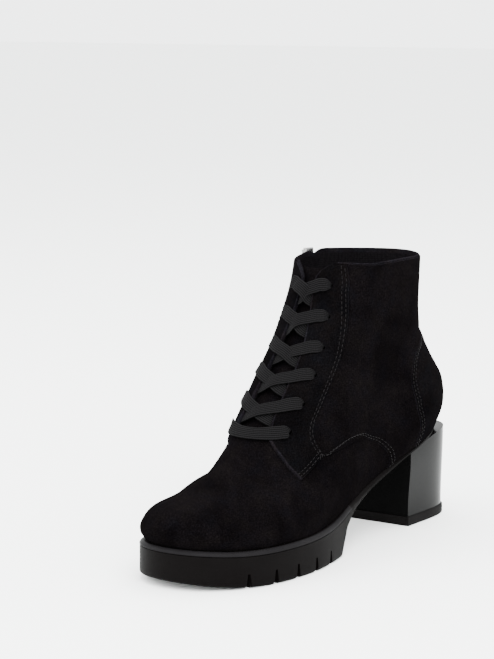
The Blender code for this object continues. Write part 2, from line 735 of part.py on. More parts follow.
def build_heel_tip():
    """The rubber top piece under the block."""
    size = (HEEL_BREAST, HEEL_BACK, HEEL_HALF_WIDTH)
    rings = [
        heel_ring(*size, lambda x: 0.0, TOP_PIECE_LEDGE - TIP_CHAMFER),
        heel_ring(*size, lambda x: TIP_CHAMFER, TOP_PIECE_LEDGE),
        heel_ring(*size, lambda x: TOP_PIECE_HEIGHT, TOP_PIECE_LEDGE),
    ]
    tip = heel_solid("heel_tip", rings)
    smooth(tip, TOP_PIECE, 50)
    return tip


# Laces, in millimetres
LACE_WIDTH = 8.0
LACE_THICKNESS = 1.4
LACE_OVER_FACING = 2.4    # from the last to the lace's lower face
LACE_STEPS = 10
STRAND_LOW = -1.7         # a strand's start, between the facing and the tongue
STRAND_INSIDE = 1.6       # how far inside the facing's edge it starts
STRAND_UNDER = 0.35       # heights of the two strands where they cross
STRAND_OVER = 1.15
OUTER_ON_TOP = (1, 2, 4)  # crossings whose strand to the outer side lies on top
STRAND_START = 0.50       # a strand starts this share of a row below its eyelet
STRAND_CROSS = 0.25       # shares of a row that it has risen at the crossing
STRAND_LAND = 0.38        # and where it comes on to the facing
END_INSIDE = 1.0          # laces end this far short of the eyelet's middle
BAR_KNOTS = 5
ON_FACING = 0.1           # lift of a strand that lands on a facing


def ribbon(name, route, group=boot):
    """A flat lace along a route of distance, level and height above the last."""
    distances, levels, heights = np.array(route).T
    run = np.linspace(0, 1, len(route))
    samples = []
    for s in np.linspace(0, 1, LACE_STEPS + 1):
        distance = float(np.interp(s, run, distances))
        level = float(np.interp(s, run, levels))
        height = float(hermite(run, heights, s))
        u = beside_ridge(distance * MM * GRADE_Y, level)
        samples.append((surface(u, level, height * MM), last_normal(u, level)))
    rings = []
    for k, (point, normal) in enumerate(samples):
        before = samples[max(k - 1, 0)][0]
        after = samples[min(k + 1, LACE_STEPS)][0]
        side = np.cross(after - before, normal)
        side *= LACE_WIDTH * MM / 2 / np.linalg.norm(side)
        top = normal * LACE_THICKNESS * MM
        rings.append([point - side, point + side, point + side + top, point - side + top])
    points = [p for ring in rings for p in ring]
    faces = [(0, 1, 2, 3), tuple(4 * LACE_STEPS + j for j in (3, 2, 1, 0))]
    for i in range(LACE_STEPS):
        for j in range(4):
            k = (j + 1) % 4
            faces.append((4 * i + j, 4 * i + k, 4 * i + 4 + k, 4 * i + 4 + j))
    return add_object(name, points, faces, group)


def build_lace_bar():
    """The straight bar through the lowest eyelets."""
    level, distance = EYELET_ROWS[0]
    reach = distance - END_INSIDE
    route = [(d, level, LACE_OVER_FACING) for d in np.linspace(reach, -reach, BAR_KNOTS)]
    bar = ribbon("lace_bar", route)
    smooth(bar, COTTON)
    return bar


def build_crossing(number):
    """Two strands that cross over the tongue, from under the facings where the throat is wide."""
    level, distance = EYELET_ROWS[number]
    rise = level - EYELET_ROWS[number - 1][0]
    start = level - STRAND_START * rise
    edge = edge_distance(start) / (MM * GRADE_Y)
    wide = edge > LACE_WIDTH
    strands = []
    for side in (1, -1):
        on_top = (side > 0) == (number in OUTER_ON_TOP)
        middle = STRAND_OVER if on_top else STRAND_UNDER
        lift = 0.0 if wide else LACE_OVER_FACING
        near = edge_distance(level) / (MM * GRADE_Y)
        route = [
            (-side * (edge - STRAND_INSIDE), start, STRAND_LOW if wide else LACE_OVER_FACING),
            (0.0, start + STRAND_CROSS * rise, middle + lift),
            (side * near, start + STRAND_LAND * rise, LACE_OVER_FACING + (ON_FACING if wide else middle)),
            (side * (distance - END_INSIDE), level, LACE_OVER_FACING),
        ]
        group = boot if side > 0 else cutters
        name = f"lace_crossing_{number + 1}" if side > 0 else f"lace_strand_{number + 1}"
        strands.append(ribbon(name, route, group))
    cut(strands[0], strands[1], "UNION")
    settle(strands[0])
    smooth(strands[0], COTTON)
    return strands[0]


# Zip on the inner side, in millimetres
ZIP_TOP_X = 54.0          # from the heel curve, at the collar
ZIP_FOOT_X = 61.0
ZIP_FOOT = 0.16           # level of its lower end
ZIP_HEAD = 0.992
ZIP_TAPE_HALF = 4.6
ZIP_INSIDE = 0.60         # the tape stands this far off the upper
ZIP_OUTSIDE = 1.40
ZIP_SLOT_HALF = 5.2       # half the width left free for the tape in the quarter's step
SLOT_PAST_FOOT = 0.0024   # levels that the free slot reaches past the tape's two ends
SLOT_PAST_HEAD = 0.012
ZIP_ROWS = 13
ZIP_COLUMNS = 3
SPAN = 0.004              # step round the last that a width is measured over
SLIDER_LEVEL = 0.980
SLIDER_SIZE = (8.0, 11.0, 2.6)
SLIDER_LIFT = 0.2         # slider above the chain, added to the usual clearance
SLIDER_ROUNDING = 0.5
BRIDGE_GAP = 2.0          # clear height under the slider's bridge
BRIDGE_BAR = 1.0
BRIDGE_SINK = 0.4         # how deep the bridge's feet stand in the slider
BRIDGE_LENGTH = 8.4
BRIDGE_WIDTH = 1.8
PULL_SIZE = (5.6, 24.0, 1.2)
PULL_EYE = (3.2, 6.6)
PULL_BAR = 1.2
PULL_SLOT = (2.2, 9.0)    # long slot in the tab's lower end
PULL_SLOT_END = 2.2       # metal left below it
PULL_ROUNDING = 0.35
PUNCH_DEPTH = 4.0


def zip_u(v):
    """Where the zip's middle runs round the section at level v."""
    share = (v - ZIP_FOOT) / (ZIP_HEAD - ZIP_FOOT)
    aim = place(ZIP_FOOT_X + (ZIP_TOP_X - ZIP_FOOT_X) * share, 0.0, 0.0)[0]
    ahead, behind = 0.5, 1.0
    for _ in range(30):
        middle = (ahead + behind) / 2
        if last_point(middle, min(v, 1.0))[0] > aim:
            ahead = middle
        else:
            behind = middle
    return (ahead + behind) / 2


def zip_strip(name, half, inside, outside, group=boot):
    """A strip of the upper's shape along the zip, its sizes in millimetres."""
    wider = half > ZIP_TAPE_HALF
    foot = ZIP_FOOT - SLOT_PAST_FOOT * wider
    head = ZIP_HEAD + SLOT_PAST_HEAD * wider
    outer, inner = [], []
    for v in np.linspace(foot, head, ZIP_ROWS):
        middle = zip_u(v)
        width = np.linalg.norm(risen(middle + SPAN, v, 0.0) - risen(middle - SPAN, v, 0.0))
        reach = half * MM * 2 * SPAN / width
        us = np.linspace(middle - reach, middle + reach, ZIP_COLUMNS)
        outer.append([risen(u, v, outside * MM) for u in us])
        inner.append([risen(u, v, inside * MM) for u in us])
    return wall_between(name, outer, inner, False, group)


def build_zip_tape():
    """Tape and chain of the closed zip."""
    tape = zip_strip("zip_tape", ZIP_TAPE_HALF, ZIP_INSIDE, ZIP_OUTSIDE)
    smooth(tape, ZIP_TAPE)
    return tape


def slider_frame():
    """Axes at the slider: across the zip, up the zip, out of it, and the point on the tape."""
    u = zip_u(SLIDER_LEVEL)
    out = last_normal(u, SLIDER_LEVEL)
    above = SLIDER_LEVEL + LEVEL_STEP
    up = surface(zip_u(above), above) - surface(u, SLIDER_LEVEL)
    up -= out * np.dot(up, out)
    up /= np.linalg.norm(up)
    across = np.cross(up, out)
    base = surface(u, SLIDER_LEVEL, (ZIP_OUTSIDE + SLIDER_LIFT) * MM + GAP)
    return across, up, out, base


def slider_box(name, size, centre, group=boot, bevel=0.0):
    """A block in the slider's own axes, sizes and centre in millimetres."""
    across, up, out, base = slider_frame()
    bpy.ops.mesh.primitive_cube_add(size=1.0)
    block = bpy.context.active_object
    block.name = block.data.name = name
    for collection in list(block.users_collection):
        collection.objects.unlink(block)
    group.objects.link(block)
    for vertex in block.data.vertices:
        local = [vertex.co[i] * size[i] + centre[i] for i in range(3)]
        vertex.co = base + (across * local[0] + up * local[1] + out * local[2]) * MM
    if group is cutters:
        block.hide_render = True
        block.display_type = "WIRE"
    if bevel:
        edge = block.modifiers.new("rounded", "BEVEL")
        edge.width = bevel * MM
        edge.segments = 2
        edge.limit_method = "ANGLE"
        settle(block)
    return block


def build_slider():
    """The slider body and the bridge that carries the pull."""
    height = SLIDER_SIZE[2]
    slider = slider_box("zip_slider", SLIDER_SIZE, (0, 0, height / 2), boot, SLIDER_ROUNDING)
    staple_height = BRIDGE_SINK + BRIDGE_GAP + BRIDGE_BAR
    staple_size = (BRIDGE_WIDTH, BRIDGE_LENGTH, staple_height)
    staple_middle = height - BRIDGE_SINK + staple_height / 2
    staple = slider_box("bridge", staple_size, (0, 0, staple_middle), cutters)
    opening = (BRIDGE_WIDTH * 2, BRIDGE_LENGTH - 2 * BRIDGE_BAR, BRIDGE_GAP * 2)
    cut(staple, slider_box("bridge_opening", opening, (0, 0, height), cutters))
    settle(staple)
    cut(slider, staple, "UNION")
    settle(slider)
    smooth(slider, ZIP_METAL, 30)
    return slider


def build_pull():
    """The pull tab: its top bar turns under the slider's bridge."""
    length = PULL_SIZE[1]
    eye_width, eye_length = PULL_EYE
    slot_width, slot_length = PULL_SLOT
    axis_height = SLIDER_SIZE[2] + BRIDGE_GAP / 2
    middle = PULL_BAR / 2 - length / 2
    pull = slider_box("zip_pull", PULL_SIZE, (0, middle, axis_height), boot, PULL_ROUNDING)
    eye_middle = -PULL_BAR / 2 - eye_length / 2
    slot_middle = PULL_BAR / 2 - length + PULL_SLOT_END + slot_length / 2
    eye = (eye_width, eye_length, PUNCH_DEPTH)
    slot = (slot_width, slot_length, PUNCH_DEPTH)
    cut(pull, slider_box("pull_eye", eye, (0, eye_middle, axis_height), cutters))
    cut(pull, slider_box("pull_slot", slot, (0, slot_middle, axis_height), cutters))
    settle(pull)
    smooth(pull, ZIP_METAL, 30)
    return pull


build_upper()
build_facing("facing_outer", 1)
build_facing("facing_inner", -1)
build_counter()
build_tongue()
build_outsole()
build_insole()
build_heel()
build_heel_tip()
build_lace_bar()
for crossing in range(1, EYELETS):
    build_crossing(crossing)
build_zip_tape()
build_slider()
build_pull()
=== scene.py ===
"""A black suede lace up ankle boot for the left foot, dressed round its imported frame."""

import math

import bmesh
import bpy
import numpy as np
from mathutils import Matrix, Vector, kdtree


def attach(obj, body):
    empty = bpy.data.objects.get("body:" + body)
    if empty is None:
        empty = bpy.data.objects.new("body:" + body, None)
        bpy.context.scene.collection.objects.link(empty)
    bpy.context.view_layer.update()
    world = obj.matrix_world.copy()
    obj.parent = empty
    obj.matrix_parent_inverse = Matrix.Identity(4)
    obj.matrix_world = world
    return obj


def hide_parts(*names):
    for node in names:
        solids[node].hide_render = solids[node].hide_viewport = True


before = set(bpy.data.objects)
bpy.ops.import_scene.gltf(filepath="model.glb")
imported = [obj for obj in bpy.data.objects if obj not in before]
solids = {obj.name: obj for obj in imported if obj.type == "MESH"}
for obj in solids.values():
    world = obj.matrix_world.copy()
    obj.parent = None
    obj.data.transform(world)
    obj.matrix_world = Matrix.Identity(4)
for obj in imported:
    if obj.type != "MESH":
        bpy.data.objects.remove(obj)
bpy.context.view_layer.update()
MM = 0.001


# The upper: black suede backed with a textile lining, lasted over the last so that it has
# no flat place on it. Vamp and quarters are one wall here, cemented under at the feather
# edge, open at the collar and at the throat.
HEEL_CURVE = 19.0         # millimetres from the heel curve to the middle of the heel's face
# Sections of the last from the feather edge up, in millimetres: name, the back's x and z,
# the front's x and z, the ridge's y, the share of the feather line's sag, the half widths at
# heel, waist, ball and toe on the outer and then the inner side, and the end radii.
SECTIONS = (
    ("feather", -3, 60, 237, 23.8, -5, 1.00, 31, 30, 43, 34, 30, 27, 42, 29, 28, 30),
    ("wall", -5.5, 66, 240.5, 29, -5, 0.97, 33, 32, 44.5, 35.5, 31.5, 29, 43.5, 29.5, 29, 32),
    ("crown", -8.5, 73, 240.5, 34.5, -4.5, 0.90, 34.5, 33, 44.5, 34.5, 33, 30, 43, 28, 30, 31),
    ("toe_top", -9, 80, 234, 41.2, -4, 0.78, 35, 33, 42.5, 30, 33, 31, 39, 24, 30, 27),
    ("toe_back", -8.5, 86, 218, 46.2, -2.5, 0.62, 34, 32.5, 38, 25, 32, 31, 30.5, 16, 29, 21),
    ("vamp_low", -6.5, 92, 197, 52.6, -1.5, 0.45, 33, 32, 34, 22, 31, 31, 27, 15, 28, 17),
    ("vamp_mid", -2.5, 98, 178, 64, -1, 0.28, 31, 31.5, 31, 20.5, 30, 31, 27.5, 16.5, 25, 18),
    ("throat", 3, 105, 160.5, 80, -1.5, 0.14, 28.5, 31, 30, 20.5, 28, 31, 29, 20, 23, 20),
    ("instep", 8, 113, 142, 98, -2, 0.05, 25.5, 31, 30, 21, 25.5, 31, 29.5, 21.5, 21, 22),
    ("ankle", 12, 122, 124.5, 116.5, -3, 0, 23, 31, 31, 23, 23, 32, 29.5, 20.5, 19, 22),
    ("shaft_low", 14, 134.5, 111.5, 134.8, -4, 0, 21.5, 32, 31.5, 24, 21.5, 33, 29.5, 20, 19, 22),
    ("shaft_mid", 13.5, 149.5, 103, 151.8, -5, 0, 20.5, 33, 32.5, 24.5, 21, 34, 29, 19, 18, 22),
    ("collar", 11.5, 165.5, 98, 168.5, -6, 0, 19.5, 33.5, 33, 25, 20, 35, 29.5, 19, 17, 22),
)
STATIONS = (0.0, 0.12, 0.40, 0.70, 0.90, 1.0)     # shares of a section's length
# The feather line, where upper and sole meet: x from the heel curve, z above the floor
FEATHER_LINE = (
    (-8.0, 61.5), (20.0, 57.5), (50.0, 49.5), (80.0, 38.5), (105.0, 29.0),
    (130.0, 23.5), (155.0, 21.5), (185.0, 21.0), (215.0, 21.5), (241.0, 23.8),
)
SECTION_ROWS = np.array([row[1:] for row in SECTIONS], float)
SECTION_LEVELS = np.linspace(0.0, 1.0, len(SECTIONS))


def curve(xs, ys, x):
    """Read the smooth curve through xs, ys at x; ys may hold one row for each x."""
    xs = np.asarray(xs, float)
    ys = np.atleast_2d(np.asarray(ys, float))
    x = np.atleast_1d(np.asarray(x, float)).ravel()
    steps = np.diff(xs)
    slopes = np.diff(ys, axis=1) / steps
    share = steps[:-1] / (steps[:-1] + steps[1:])
    inner = slopes[:, :-1] * (1 - share) + slopes[:, 1:] * share
    tangents = np.concatenate([slopes[:, :1], inner, slopes[:, -1:]], axis=1)
    i = np.clip(np.searchsorted(xs, x, side="right") - 1, 0, len(xs) - 2)
    row = np.arange(len(x)) if len(ys) > 1 else 0
    s = (x - xs[i]) / steps[i]
    return (
        ys[row, i] * (1 + 2 * s) * (1 - s) ** 2
        + tangents[row, i] * steps[i] * s * (1 - s) ** 2
        + ys[row, i + 1] * s * s * (3 - 2 * s)
        + tangents[row, i + 1] * steps[i] * s * s * (s - 1)
    )


def feather_height(x):
    """Height of the feather line, in millimetres, x millimetres from the heel curve."""
    xs, zs = np.array(FEATHER_LINE).T
    return curve(xs, zs, np.clip(x, xs[0], xs[-1]))


def last(u, v):
    """Points on the last: u runs round from the heel by the outer side, v runs up."""
    u, v = np.broadcast_arrays(np.asarray(u, float), np.asarray(v, float))
    shape = u.shape
    u, v = u.ravel(), v.ravel()
    columns = SECTION_ROWS.shape[1]
    row = np.stack([curve(SECTION_LEVELS, SECTION_ROWS[:, k], v) for k in range(columns)], axis=1)
    back_x, back_z, front_x, front_z, ridge_y, sag = row[:, :6].T
    swing = np.sin(2 * np.pi * u)
    t = (1 - np.cos(2 * np.pi * u)) / 2
    widths = np.where((swing >= 0)[:, None], row[:, 6:10], row[:, 10:14])
    length = front_x - back_x
    spread = [2 * math.sqrt(s * (1 - s)) for s in STATIONS[1:-1]]
    ends = np.sqrt(row[:, 14:16] * length[:, None] / 2)
    envelope = np.concatenate([ends[:, :1], widths / spread, ends[:, 1:]], axis=1)
    half = curve(STATIONS, envelope, t)
    feather = SECTION_ROWS[0]
    chord = feather[1] + (feather[3] - feather[1]) * t
    dip = feather_height(feather[0] + t * (feather[2] - feather[0])) - chord
    x = back_x + t * length - HEEL_CURVE
    y = ridge_y * t * t + swing * half
    z = back_z + (front_z - back_z) * t + sag * dip
    return (np.stack([x, y, z], axis=1) * MM).reshape(*shape, 3)


def unit(vectors):
    """The vectors, each at length one."""
    return vectors / np.maximum(np.linalg.norm(vectors, axis=-1, keepdims=True), 1e-12)


STEP_ALONG = 0.002        # small steps of u and v that show which way the last runs
STEP_UP = 0.01


def outward(u, v):
    """Directions square to the last."""
    u, v = np.broadcast_arrays(np.asarray(u, float), np.asarray(v, float))
    along = last(u + STEP_ALONG, v) - last(u - STEP_ALONG, v)
    up = last(u, np.clip(v + STEP_UP, 0, 1)) - last(u, np.clip(v - STEP_UP, 0, 1))
    return unit(np.cross(up, along))


RIDGE = 0.5               # u of the front ridge
RIDGE_REACH = 0.30        # distances from the ridge are read this far round the last
RIDGE_STEPS = 60


def beside_ridge(distance, v):
    """u of points that lie distance millimetres from the front ridge, outer side positive."""
    distance, v = np.broadcast_arrays(np.asarray(distance, float), np.asarray(v, float))
    found = np.empty(distance.size)
    steps = np.linspace(0, RIDGE_REACH, RIDGE_STEPS + 1)
    for side in (1, -1):
        chosen = np.flatnonzero((distance.ravel() >= 0) == (side > 0))
        if not len(chosen):
            continue
        levels, back = np.unique(v.ravel()[chosen], return_inverse=True)
        us = RIDGE - side * steps
        points = last(us[None, :], levels[:, None]) / MM
        runs = np.cumsum(np.linalg.norm(np.diff(points, axis=1), axis=2), axis=1)
        runs = np.concatenate([np.zeros((len(levels), 1)), runs], axis=1)
        reach = np.abs(distance.ravel()[chosen])
        found[chosen] = [np.interp(d, runs[k], us) for d, k in zip(reach, back)]
    return found.reshape(distance.shape)


# Creases that the foot has left, each a soft trough or ridge between two places on the
# last: u and v of both ends, half width in millimetres, height in millimetres.
CREASES = (
    (0.96, 0.775, 0.06, 0.77, 3.0, -0.9),
    (0.06, 0.77, 0.17, 0.70, 4.5, -0.8),
    (0.97, 0.735, 0.08, 0.725, 4.0, 0.5),
    (0.10, 0.665, 0.20, 0.62, 5.0, -0.5),
    (0.16, 0.80, 0.22, 0.72, 5.0, 0.5),
    (0.20, 0.66, 0.27, 0.60, 6.0, -0.6),
    (0.24, 0.56, 0.31, 0.58, 6.0, 0.4),
    (0.83, 0.76, 0.95, 0.74, 5.0, -0.6),
    (0.72, 0.62, 0.80, 0.68, 6.0, -0.5),
    (0.40, 0.40, 0.47, 0.46, 7.0, -0.5),
    (0.53, 0.46, 0.60, 0.40, 7.0, -0.5),
    (0.36, 0.30, 0.42, 0.36, 8.0, 0.4),
)
CREASE_STEPS = 8
CREASE_TIP = 0.12         # share of a crease over which it runs out at each end
CREASE_LEAST = 0.35       # and the least share of its width that is left there


def crease(points):
    """Millimetres that the creases lift the suede at these points on the last."""
    lift = np.zeros(points.shape[:-1])
    for u_from, v_from, u_to, v_to, half_width, height in CREASES:
        u_end = u_to if abs(u_to - u_from) < 0.5 else u_to + 1
        shares = np.linspace(0, 1, CREASE_STEPS + 1)
        line = last(
            np.linspace(u_from, u_end, CREASE_STEPS + 1), np.linspace(v_from, v_to, CREASE_STEPS + 1)
        )
        nearest = np.full(points.shape[:-1], np.inf)
        for a, b, start in zip(line[:-1], line[1:], shares[:-1]):
            along = np.clip(((points - a) @ (b - a)) / ((b - a) @ (b - a)), 0, 1)
            gap = np.linalg.norm(points - a - along[..., None] * (b - a), axis=-1) / MM
            middle = start + 0.5 / CREASE_STEPS
            fade = math.sin(math.pi * min(max(middle, CREASE_TIP), 1 - CREASE_TIP))
            nearest = np.minimum(nearest, gap / max(fade, CREASE_LEAST))
        lift += height * np.exp(-((nearest / half_width) ** 2))
    return lift


COLLAR_DIP = 2.2          # the worn collar hangs this much lower at its front
COLLAR_DIP_REACH = (30.0, 66.0)
COLLAR_DIP_LEVELS = (150.0, 166.0)
ZIP_GAP_X = 35.0          # where the zip parts the collar, forward of the heel's middle
ZIP_GAP_DEPTH = 2.4
ZIP_GAP_HALF = 5.0


def smooth(value, low, high):
    """Nought below low, one above high, and an even slope between."""
    share = np.clip((value - low) / (high - low), 0, 1)
    return share * share * (3 - 2 * share)


def collar_dip(points):
    """Millimetres that the collar drops towards its front and where the zip parts it."""
    x, y, z = (points[..., k] / MM for k in range(3))
    front = COLLAR_DIP * smooth(x, *COLLAR_DIP_REACH)
    gap = ZIP_GAP_DEPTH * np.exp(-(((x - ZIP_GAP_X) / ZIP_GAP_HALF) ** 2)) * (y < 0)
    return (front + gap) * smooth(z, *COLLAR_DIP_LEVELS)


def skin(u, v, out=0.0):
    """Points out millimetres above the creased last, and the directions square to it."""
    points = last(u, v)
    normals = outward(u, v)
    height = np.asarray(out, float) + crease(points)
    drop = collar_dip(points)[..., None] * np.array([0, 0, MM])
    return points + normals * height[..., None] * MM - drop, normals


def srgb(code):
    """Turn a hex colour into the linear values that a shader takes."""
    values = [int(code[k : k + 2], 16) / 255 for k in (1, 3, 5)]
    linear = [c / 12.92 if c <= 0.04045 else ((c + 0.055) / 1.055) ** 2.4 for c in values]
    return (*linear, 1.0)


def add_node(tree, kind, settings, inputs, stops=()):
    """Add a node, set it up, give each input its value or its link, and a ramp its colours."""
    made = tree.nodes.new("ShaderNode" + kind)
    for key, value in settings.items():
        setattr(made, key, value)
    for key, value in inputs.items():
        if isinstance(value, bpy.types.NodeSocket):
            tree.links.new(value, made.inputs[key])
        else:
            made.inputs[key].default_value = value
    if stops:
        elements = made.color_ramp.elements
        while len(elements) < len(stops):
            elements.new(0.5)
        for element, (place, code) in zip(elements, stops):
            element.position = place
            element.color = srgb(code)
    return made


def new_finish(name):
    """An empty finish: its node tree and the shader to fill."""
    finish = bpy.data.materials.new(name)
    finish.use_nodes = True
    return finish, finish.node_tree, finish.node_tree.nodes["Principled BSDF"]


def black_suede(name, dark, warm, cool):
    """Split calf suede: a deep nap that drinks the light, mottled where it was brushed."""
    finish, tree, shader = new_finish(name)
    where = add_node(tree, "TexCoord", {}, {}).outputs["Object"]
    # Dye patches about 10 mm across, and brushed patches about 25 mm across
    patches = add_node(
        tree, "TexNoise", {}, {"Vector": where, "Scale": 95.0, "Detail": 5.0, "Roughness": 0.66}
    ).outputs["Fac"]
    tint = add_node(
        tree, "ValToRGB", {}, {"Fac": patches}, [(0.32, cool), (0.50, dark), (0.66, warm)]
    ).outputs["Color"]
    strokes = add_node(
        tree, "TexNoise", {}, {"Vector": where, "Scale": 42.0, "Detail": 6.0, "Distortion": 0.5}
    ).outputs["Fac"]
    shade = add_node(
        tree, "ValToRGB", {}, {"Fac": strokes}, [(0.35, "#c2c0c2"), (0.62, "#ffffff")]
    ).outputs["Color"]
    mixed = add_node(
        tree, "Mix", {"data_type": "RGBA", "blend_type": "MULTIPLY"}, {0: 1.0, 6: tint, 7: shade}
    ).outputs[2]
    # Nap tufts are about 0.1 mm across; they are drawn 0.8 mm wide so that they show
    tufts = add_node(
        tree, "TexNoise", {}, {"Vector": where, "Scale": 1300.0, "Detail": 2.0, "Roughness": 0.7}
    ).outputs["Fac"]
    speckle = add_node(
        tree, "ValToRGB", {}, {"Fac": tufts}, [(0.30, "#6e6c6e"), (0.52, "#b4b2b4"), (0.74, "#ffffff")]
    ).outputs["Color"]
    napped = add_node(
        tree, "Mix", {"data_type": "RGBA", "blend_type": "MULTIPLY"}, {0: 0.9, 6: mixed, 7: speckle}
    ).outputs[2]
    # Dents where the nap was pressed, about 4 mm across
    dents = add_node(
        tree, "TexNoise", {}, {"Vector": where, "Scale": 260.0, "Detail": 3.0, "Roughness": 0.6}
    ).outputs["Fac"]
    low = add_node(tree, "Bump", {}, {"Height": dents, "Distance": 0.0004, "Strength": 0.35})
    high = add_node(
        tree, "Bump", {},
        {"Height": tufts, "Distance": 0.00025, "Strength": 0.6, "Normal": low.outputs[0]},
    )
    tree.links.new(napped, shader.inputs["Base Color"])
    tree.links.new(high.outputs[0], shader.inputs["Normal"])
    shader.inputs["Roughness"].default_value = 0.95
    shader.inputs["IOR"].default_value = 1.45
    shader.inputs["Specular IOR Level"].default_value = 0.0
    shader.inputs["Sheen Weight"].default_value = 0.003
    shader.inputs["Sheen Roughness"].default_value = 0.55
    shader.inputs["Sheen Tint"].default_value = srgb("#cfc6c8")
    return finish


SUEDE = black_suede("split_suede_black", "#0b090a", "#0d0b0b", "#0a090b")
SUEDE_TRIM = black_suede("split_suede_facing", "#0a090a", "#0c0a0a", "#09090b")
# The edge finish is paler than the suede: a painted highlight along cut edges, folds and the collar's rim.
SUEDE_EDGE_HIGHLIGHT = black_suede("split_suede_edge_painted_highlight", "#151316", "#171415", "#151518")


def textile_lining():
    """Warp knit polyester lining: a fine matt mesh, a little paler than the suede."""
    finish, tree, shader = new_finish("textile_lining_knit")
    where = add_node(tree, "TexCoord", {}, {}).outputs["Object"]
    # Knit loops are 0.6 mm apart; they are drawn 1.2 mm apart so that they show
    loops = add_node(
        tree, "TexVoronoi", {}, {"Vector": where, "Scale": 830.0, "Randomness": 0.35}
    ).outputs["Distance"]
    shade = add_node(
        tree, "ValToRGB", {}, {"Fac": loops}, [(0.0, "#0d0c0d"), (0.8, "#060506")]
    ).outputs["Color"]
    bump = add_node(tree, "Bump", {"invert": True}, {"Height": loops, "Distance": 0.0003, "Strength": 0.5})
    tree.links.new(shade, shader.inputs["Base Color"])
    tree.links.new(bump.outputs[0], shader.inputs["Normal"])
    shader.inputs["Roughness"].default_value = 0.9
    shader.inputs["Specular IOR Level"].default_value = 0.0
    return finish


LINING = textile_lining()


WELD = 0.000002           # points closer than this, in metres, become one


def piece(name, points, faces, finishes, slots=None, sharp=60):
    """A mesh piece with its finishes, smooth, facing out, riding on the boot."""
    mesh = bpy.data.meshes.new(name)
    mesh.from_pydata(np.asarray(points).reshape(-1, 3).tolist(), [], faces)
    for finish in finishes:
        mesh.materials.append(finish)
    if slots is not None:
        mesh.polygons.foreach_set("material_index", np.asarray(slots, np.int32))
    work = bmesh.new()
    work.from_mesh(mesh)
    bmesh.ops.remove_doubles(work, verts=work.verts, dist=WELD)
    bmesh.ops.recalc_face_normals(work, faces=work.faces)
    work.to_mesh(mesh)
    work.free()
    mesh.shade_smooth()
    mesh.set_sharp_from_angle(angle=math.radians(sharp))
    made = bpy.data.objects.new(name, mesh)
    bpy.context.scene.collection.objects.link(made)
    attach(made, "boot")
    return made


def wall(outer, inner, keep, closed):
    """Faces of a wall between two grids of points, with a rim round what is kept."""
    rows, columns = outer.shape[:2]
    shift = rows * columns
    faces, slots = [], []
    wide = keep.shape[1]
    for i in range(rows - 1):
        for j in range(wide):
            if not keep[i, j]:
                continue
            k = (j + 1) % columns
            row, above_row = i * columns, (i + 1) * columns
            a, b, c, d = row + j, row + k, above_row + k, above_row + j
            faces += [(a, b, c, d), (shift + d, shift + c, shift + b, shift + a)]
            slots += [0, 1]
            left = keep[i, (j - 1) % wide] if closed or j else False
            right = keep[i, (j + 1) % wide] if closed or j < wide - 1 else False
            below = keep[i - 1, j] if i else False
            above = keep[i + 1, j] if i < rows - 2 else False
            for open_side, p, q in ((left, d, a), (right, b, c), (below, a, b), (above, c, d)):
                if not open_side:
                    faces.append((q, p, shift + p, shift + q))
                    slots.append(2)
    return np.concatenate([outer.reshape(-1, 3), inner.reshape(-1, 3)]), faces, slots


# The throat's edge, the same on both sides, as millimetres from the front ridge
THROAT_EDGE = (
    (0.36, 66.0), (0.389, 57.0), (0.435, 43.0), (0.481, 30.5), (0.515, 21.0), (0.54, 15.0),
    (0.56, 12.5), (0.60, 10.5), (0.65, 9.5), (0.71, 9.0), (0.77, 7.8), (0.83, 5.8),
    (0.88, 4.6), (0.93, 4.0), (0.955, 4.6), (0.975, 7.0), (0.99, 11.0), (1.0, 15.5),
)
THROAT_FLOOR = 0.57
THROAT_SETBACK = 1.2
THROAT_FOOT_HALF = 12.6   # half width of the fan of columns below the throat
UPPER_WALL = 2.0
UPPER_ROWS = (92, 76)     # below and above the throat's floor
UPPER_COLUMNS = (10, 96)  # on each side: in the throat, and from there to the back
# The six eyelets from the bar up: level on the last and millimetres from the ridge
EYELET_ROWS = (
    (0.556, 24.7), (0.625, 23.6), (0.694, 21.8), (0.760, 19.6), (0.838, 16.8), (0.925, 14.2),
)
EYELET_RADIUS = 1.7
EYELET_CLEAR = 2.5        # the wall stays this far from an eyelet's middle
RIM_TURNS = np.linspace(0.15, 0.5, 4)
RIM_LEAN = 0.8
RIM_BINDING = 2           # rows of the lining next to the rim that the binding covers


def edge_distance(v):
    """Millimetres from the front ridge to the facing's front edge at level v."""
    levels, distances = np.array(THROAT_EDGE).T
    return np.interp(v, levels, distances)


def eyelet_places(side):
    """u and v of the six eyelets of one side, outer side positive."""
    levels, distances = np.array(EYELET_ROWS).T
    return beside_ridge(side * distances, levels), levels


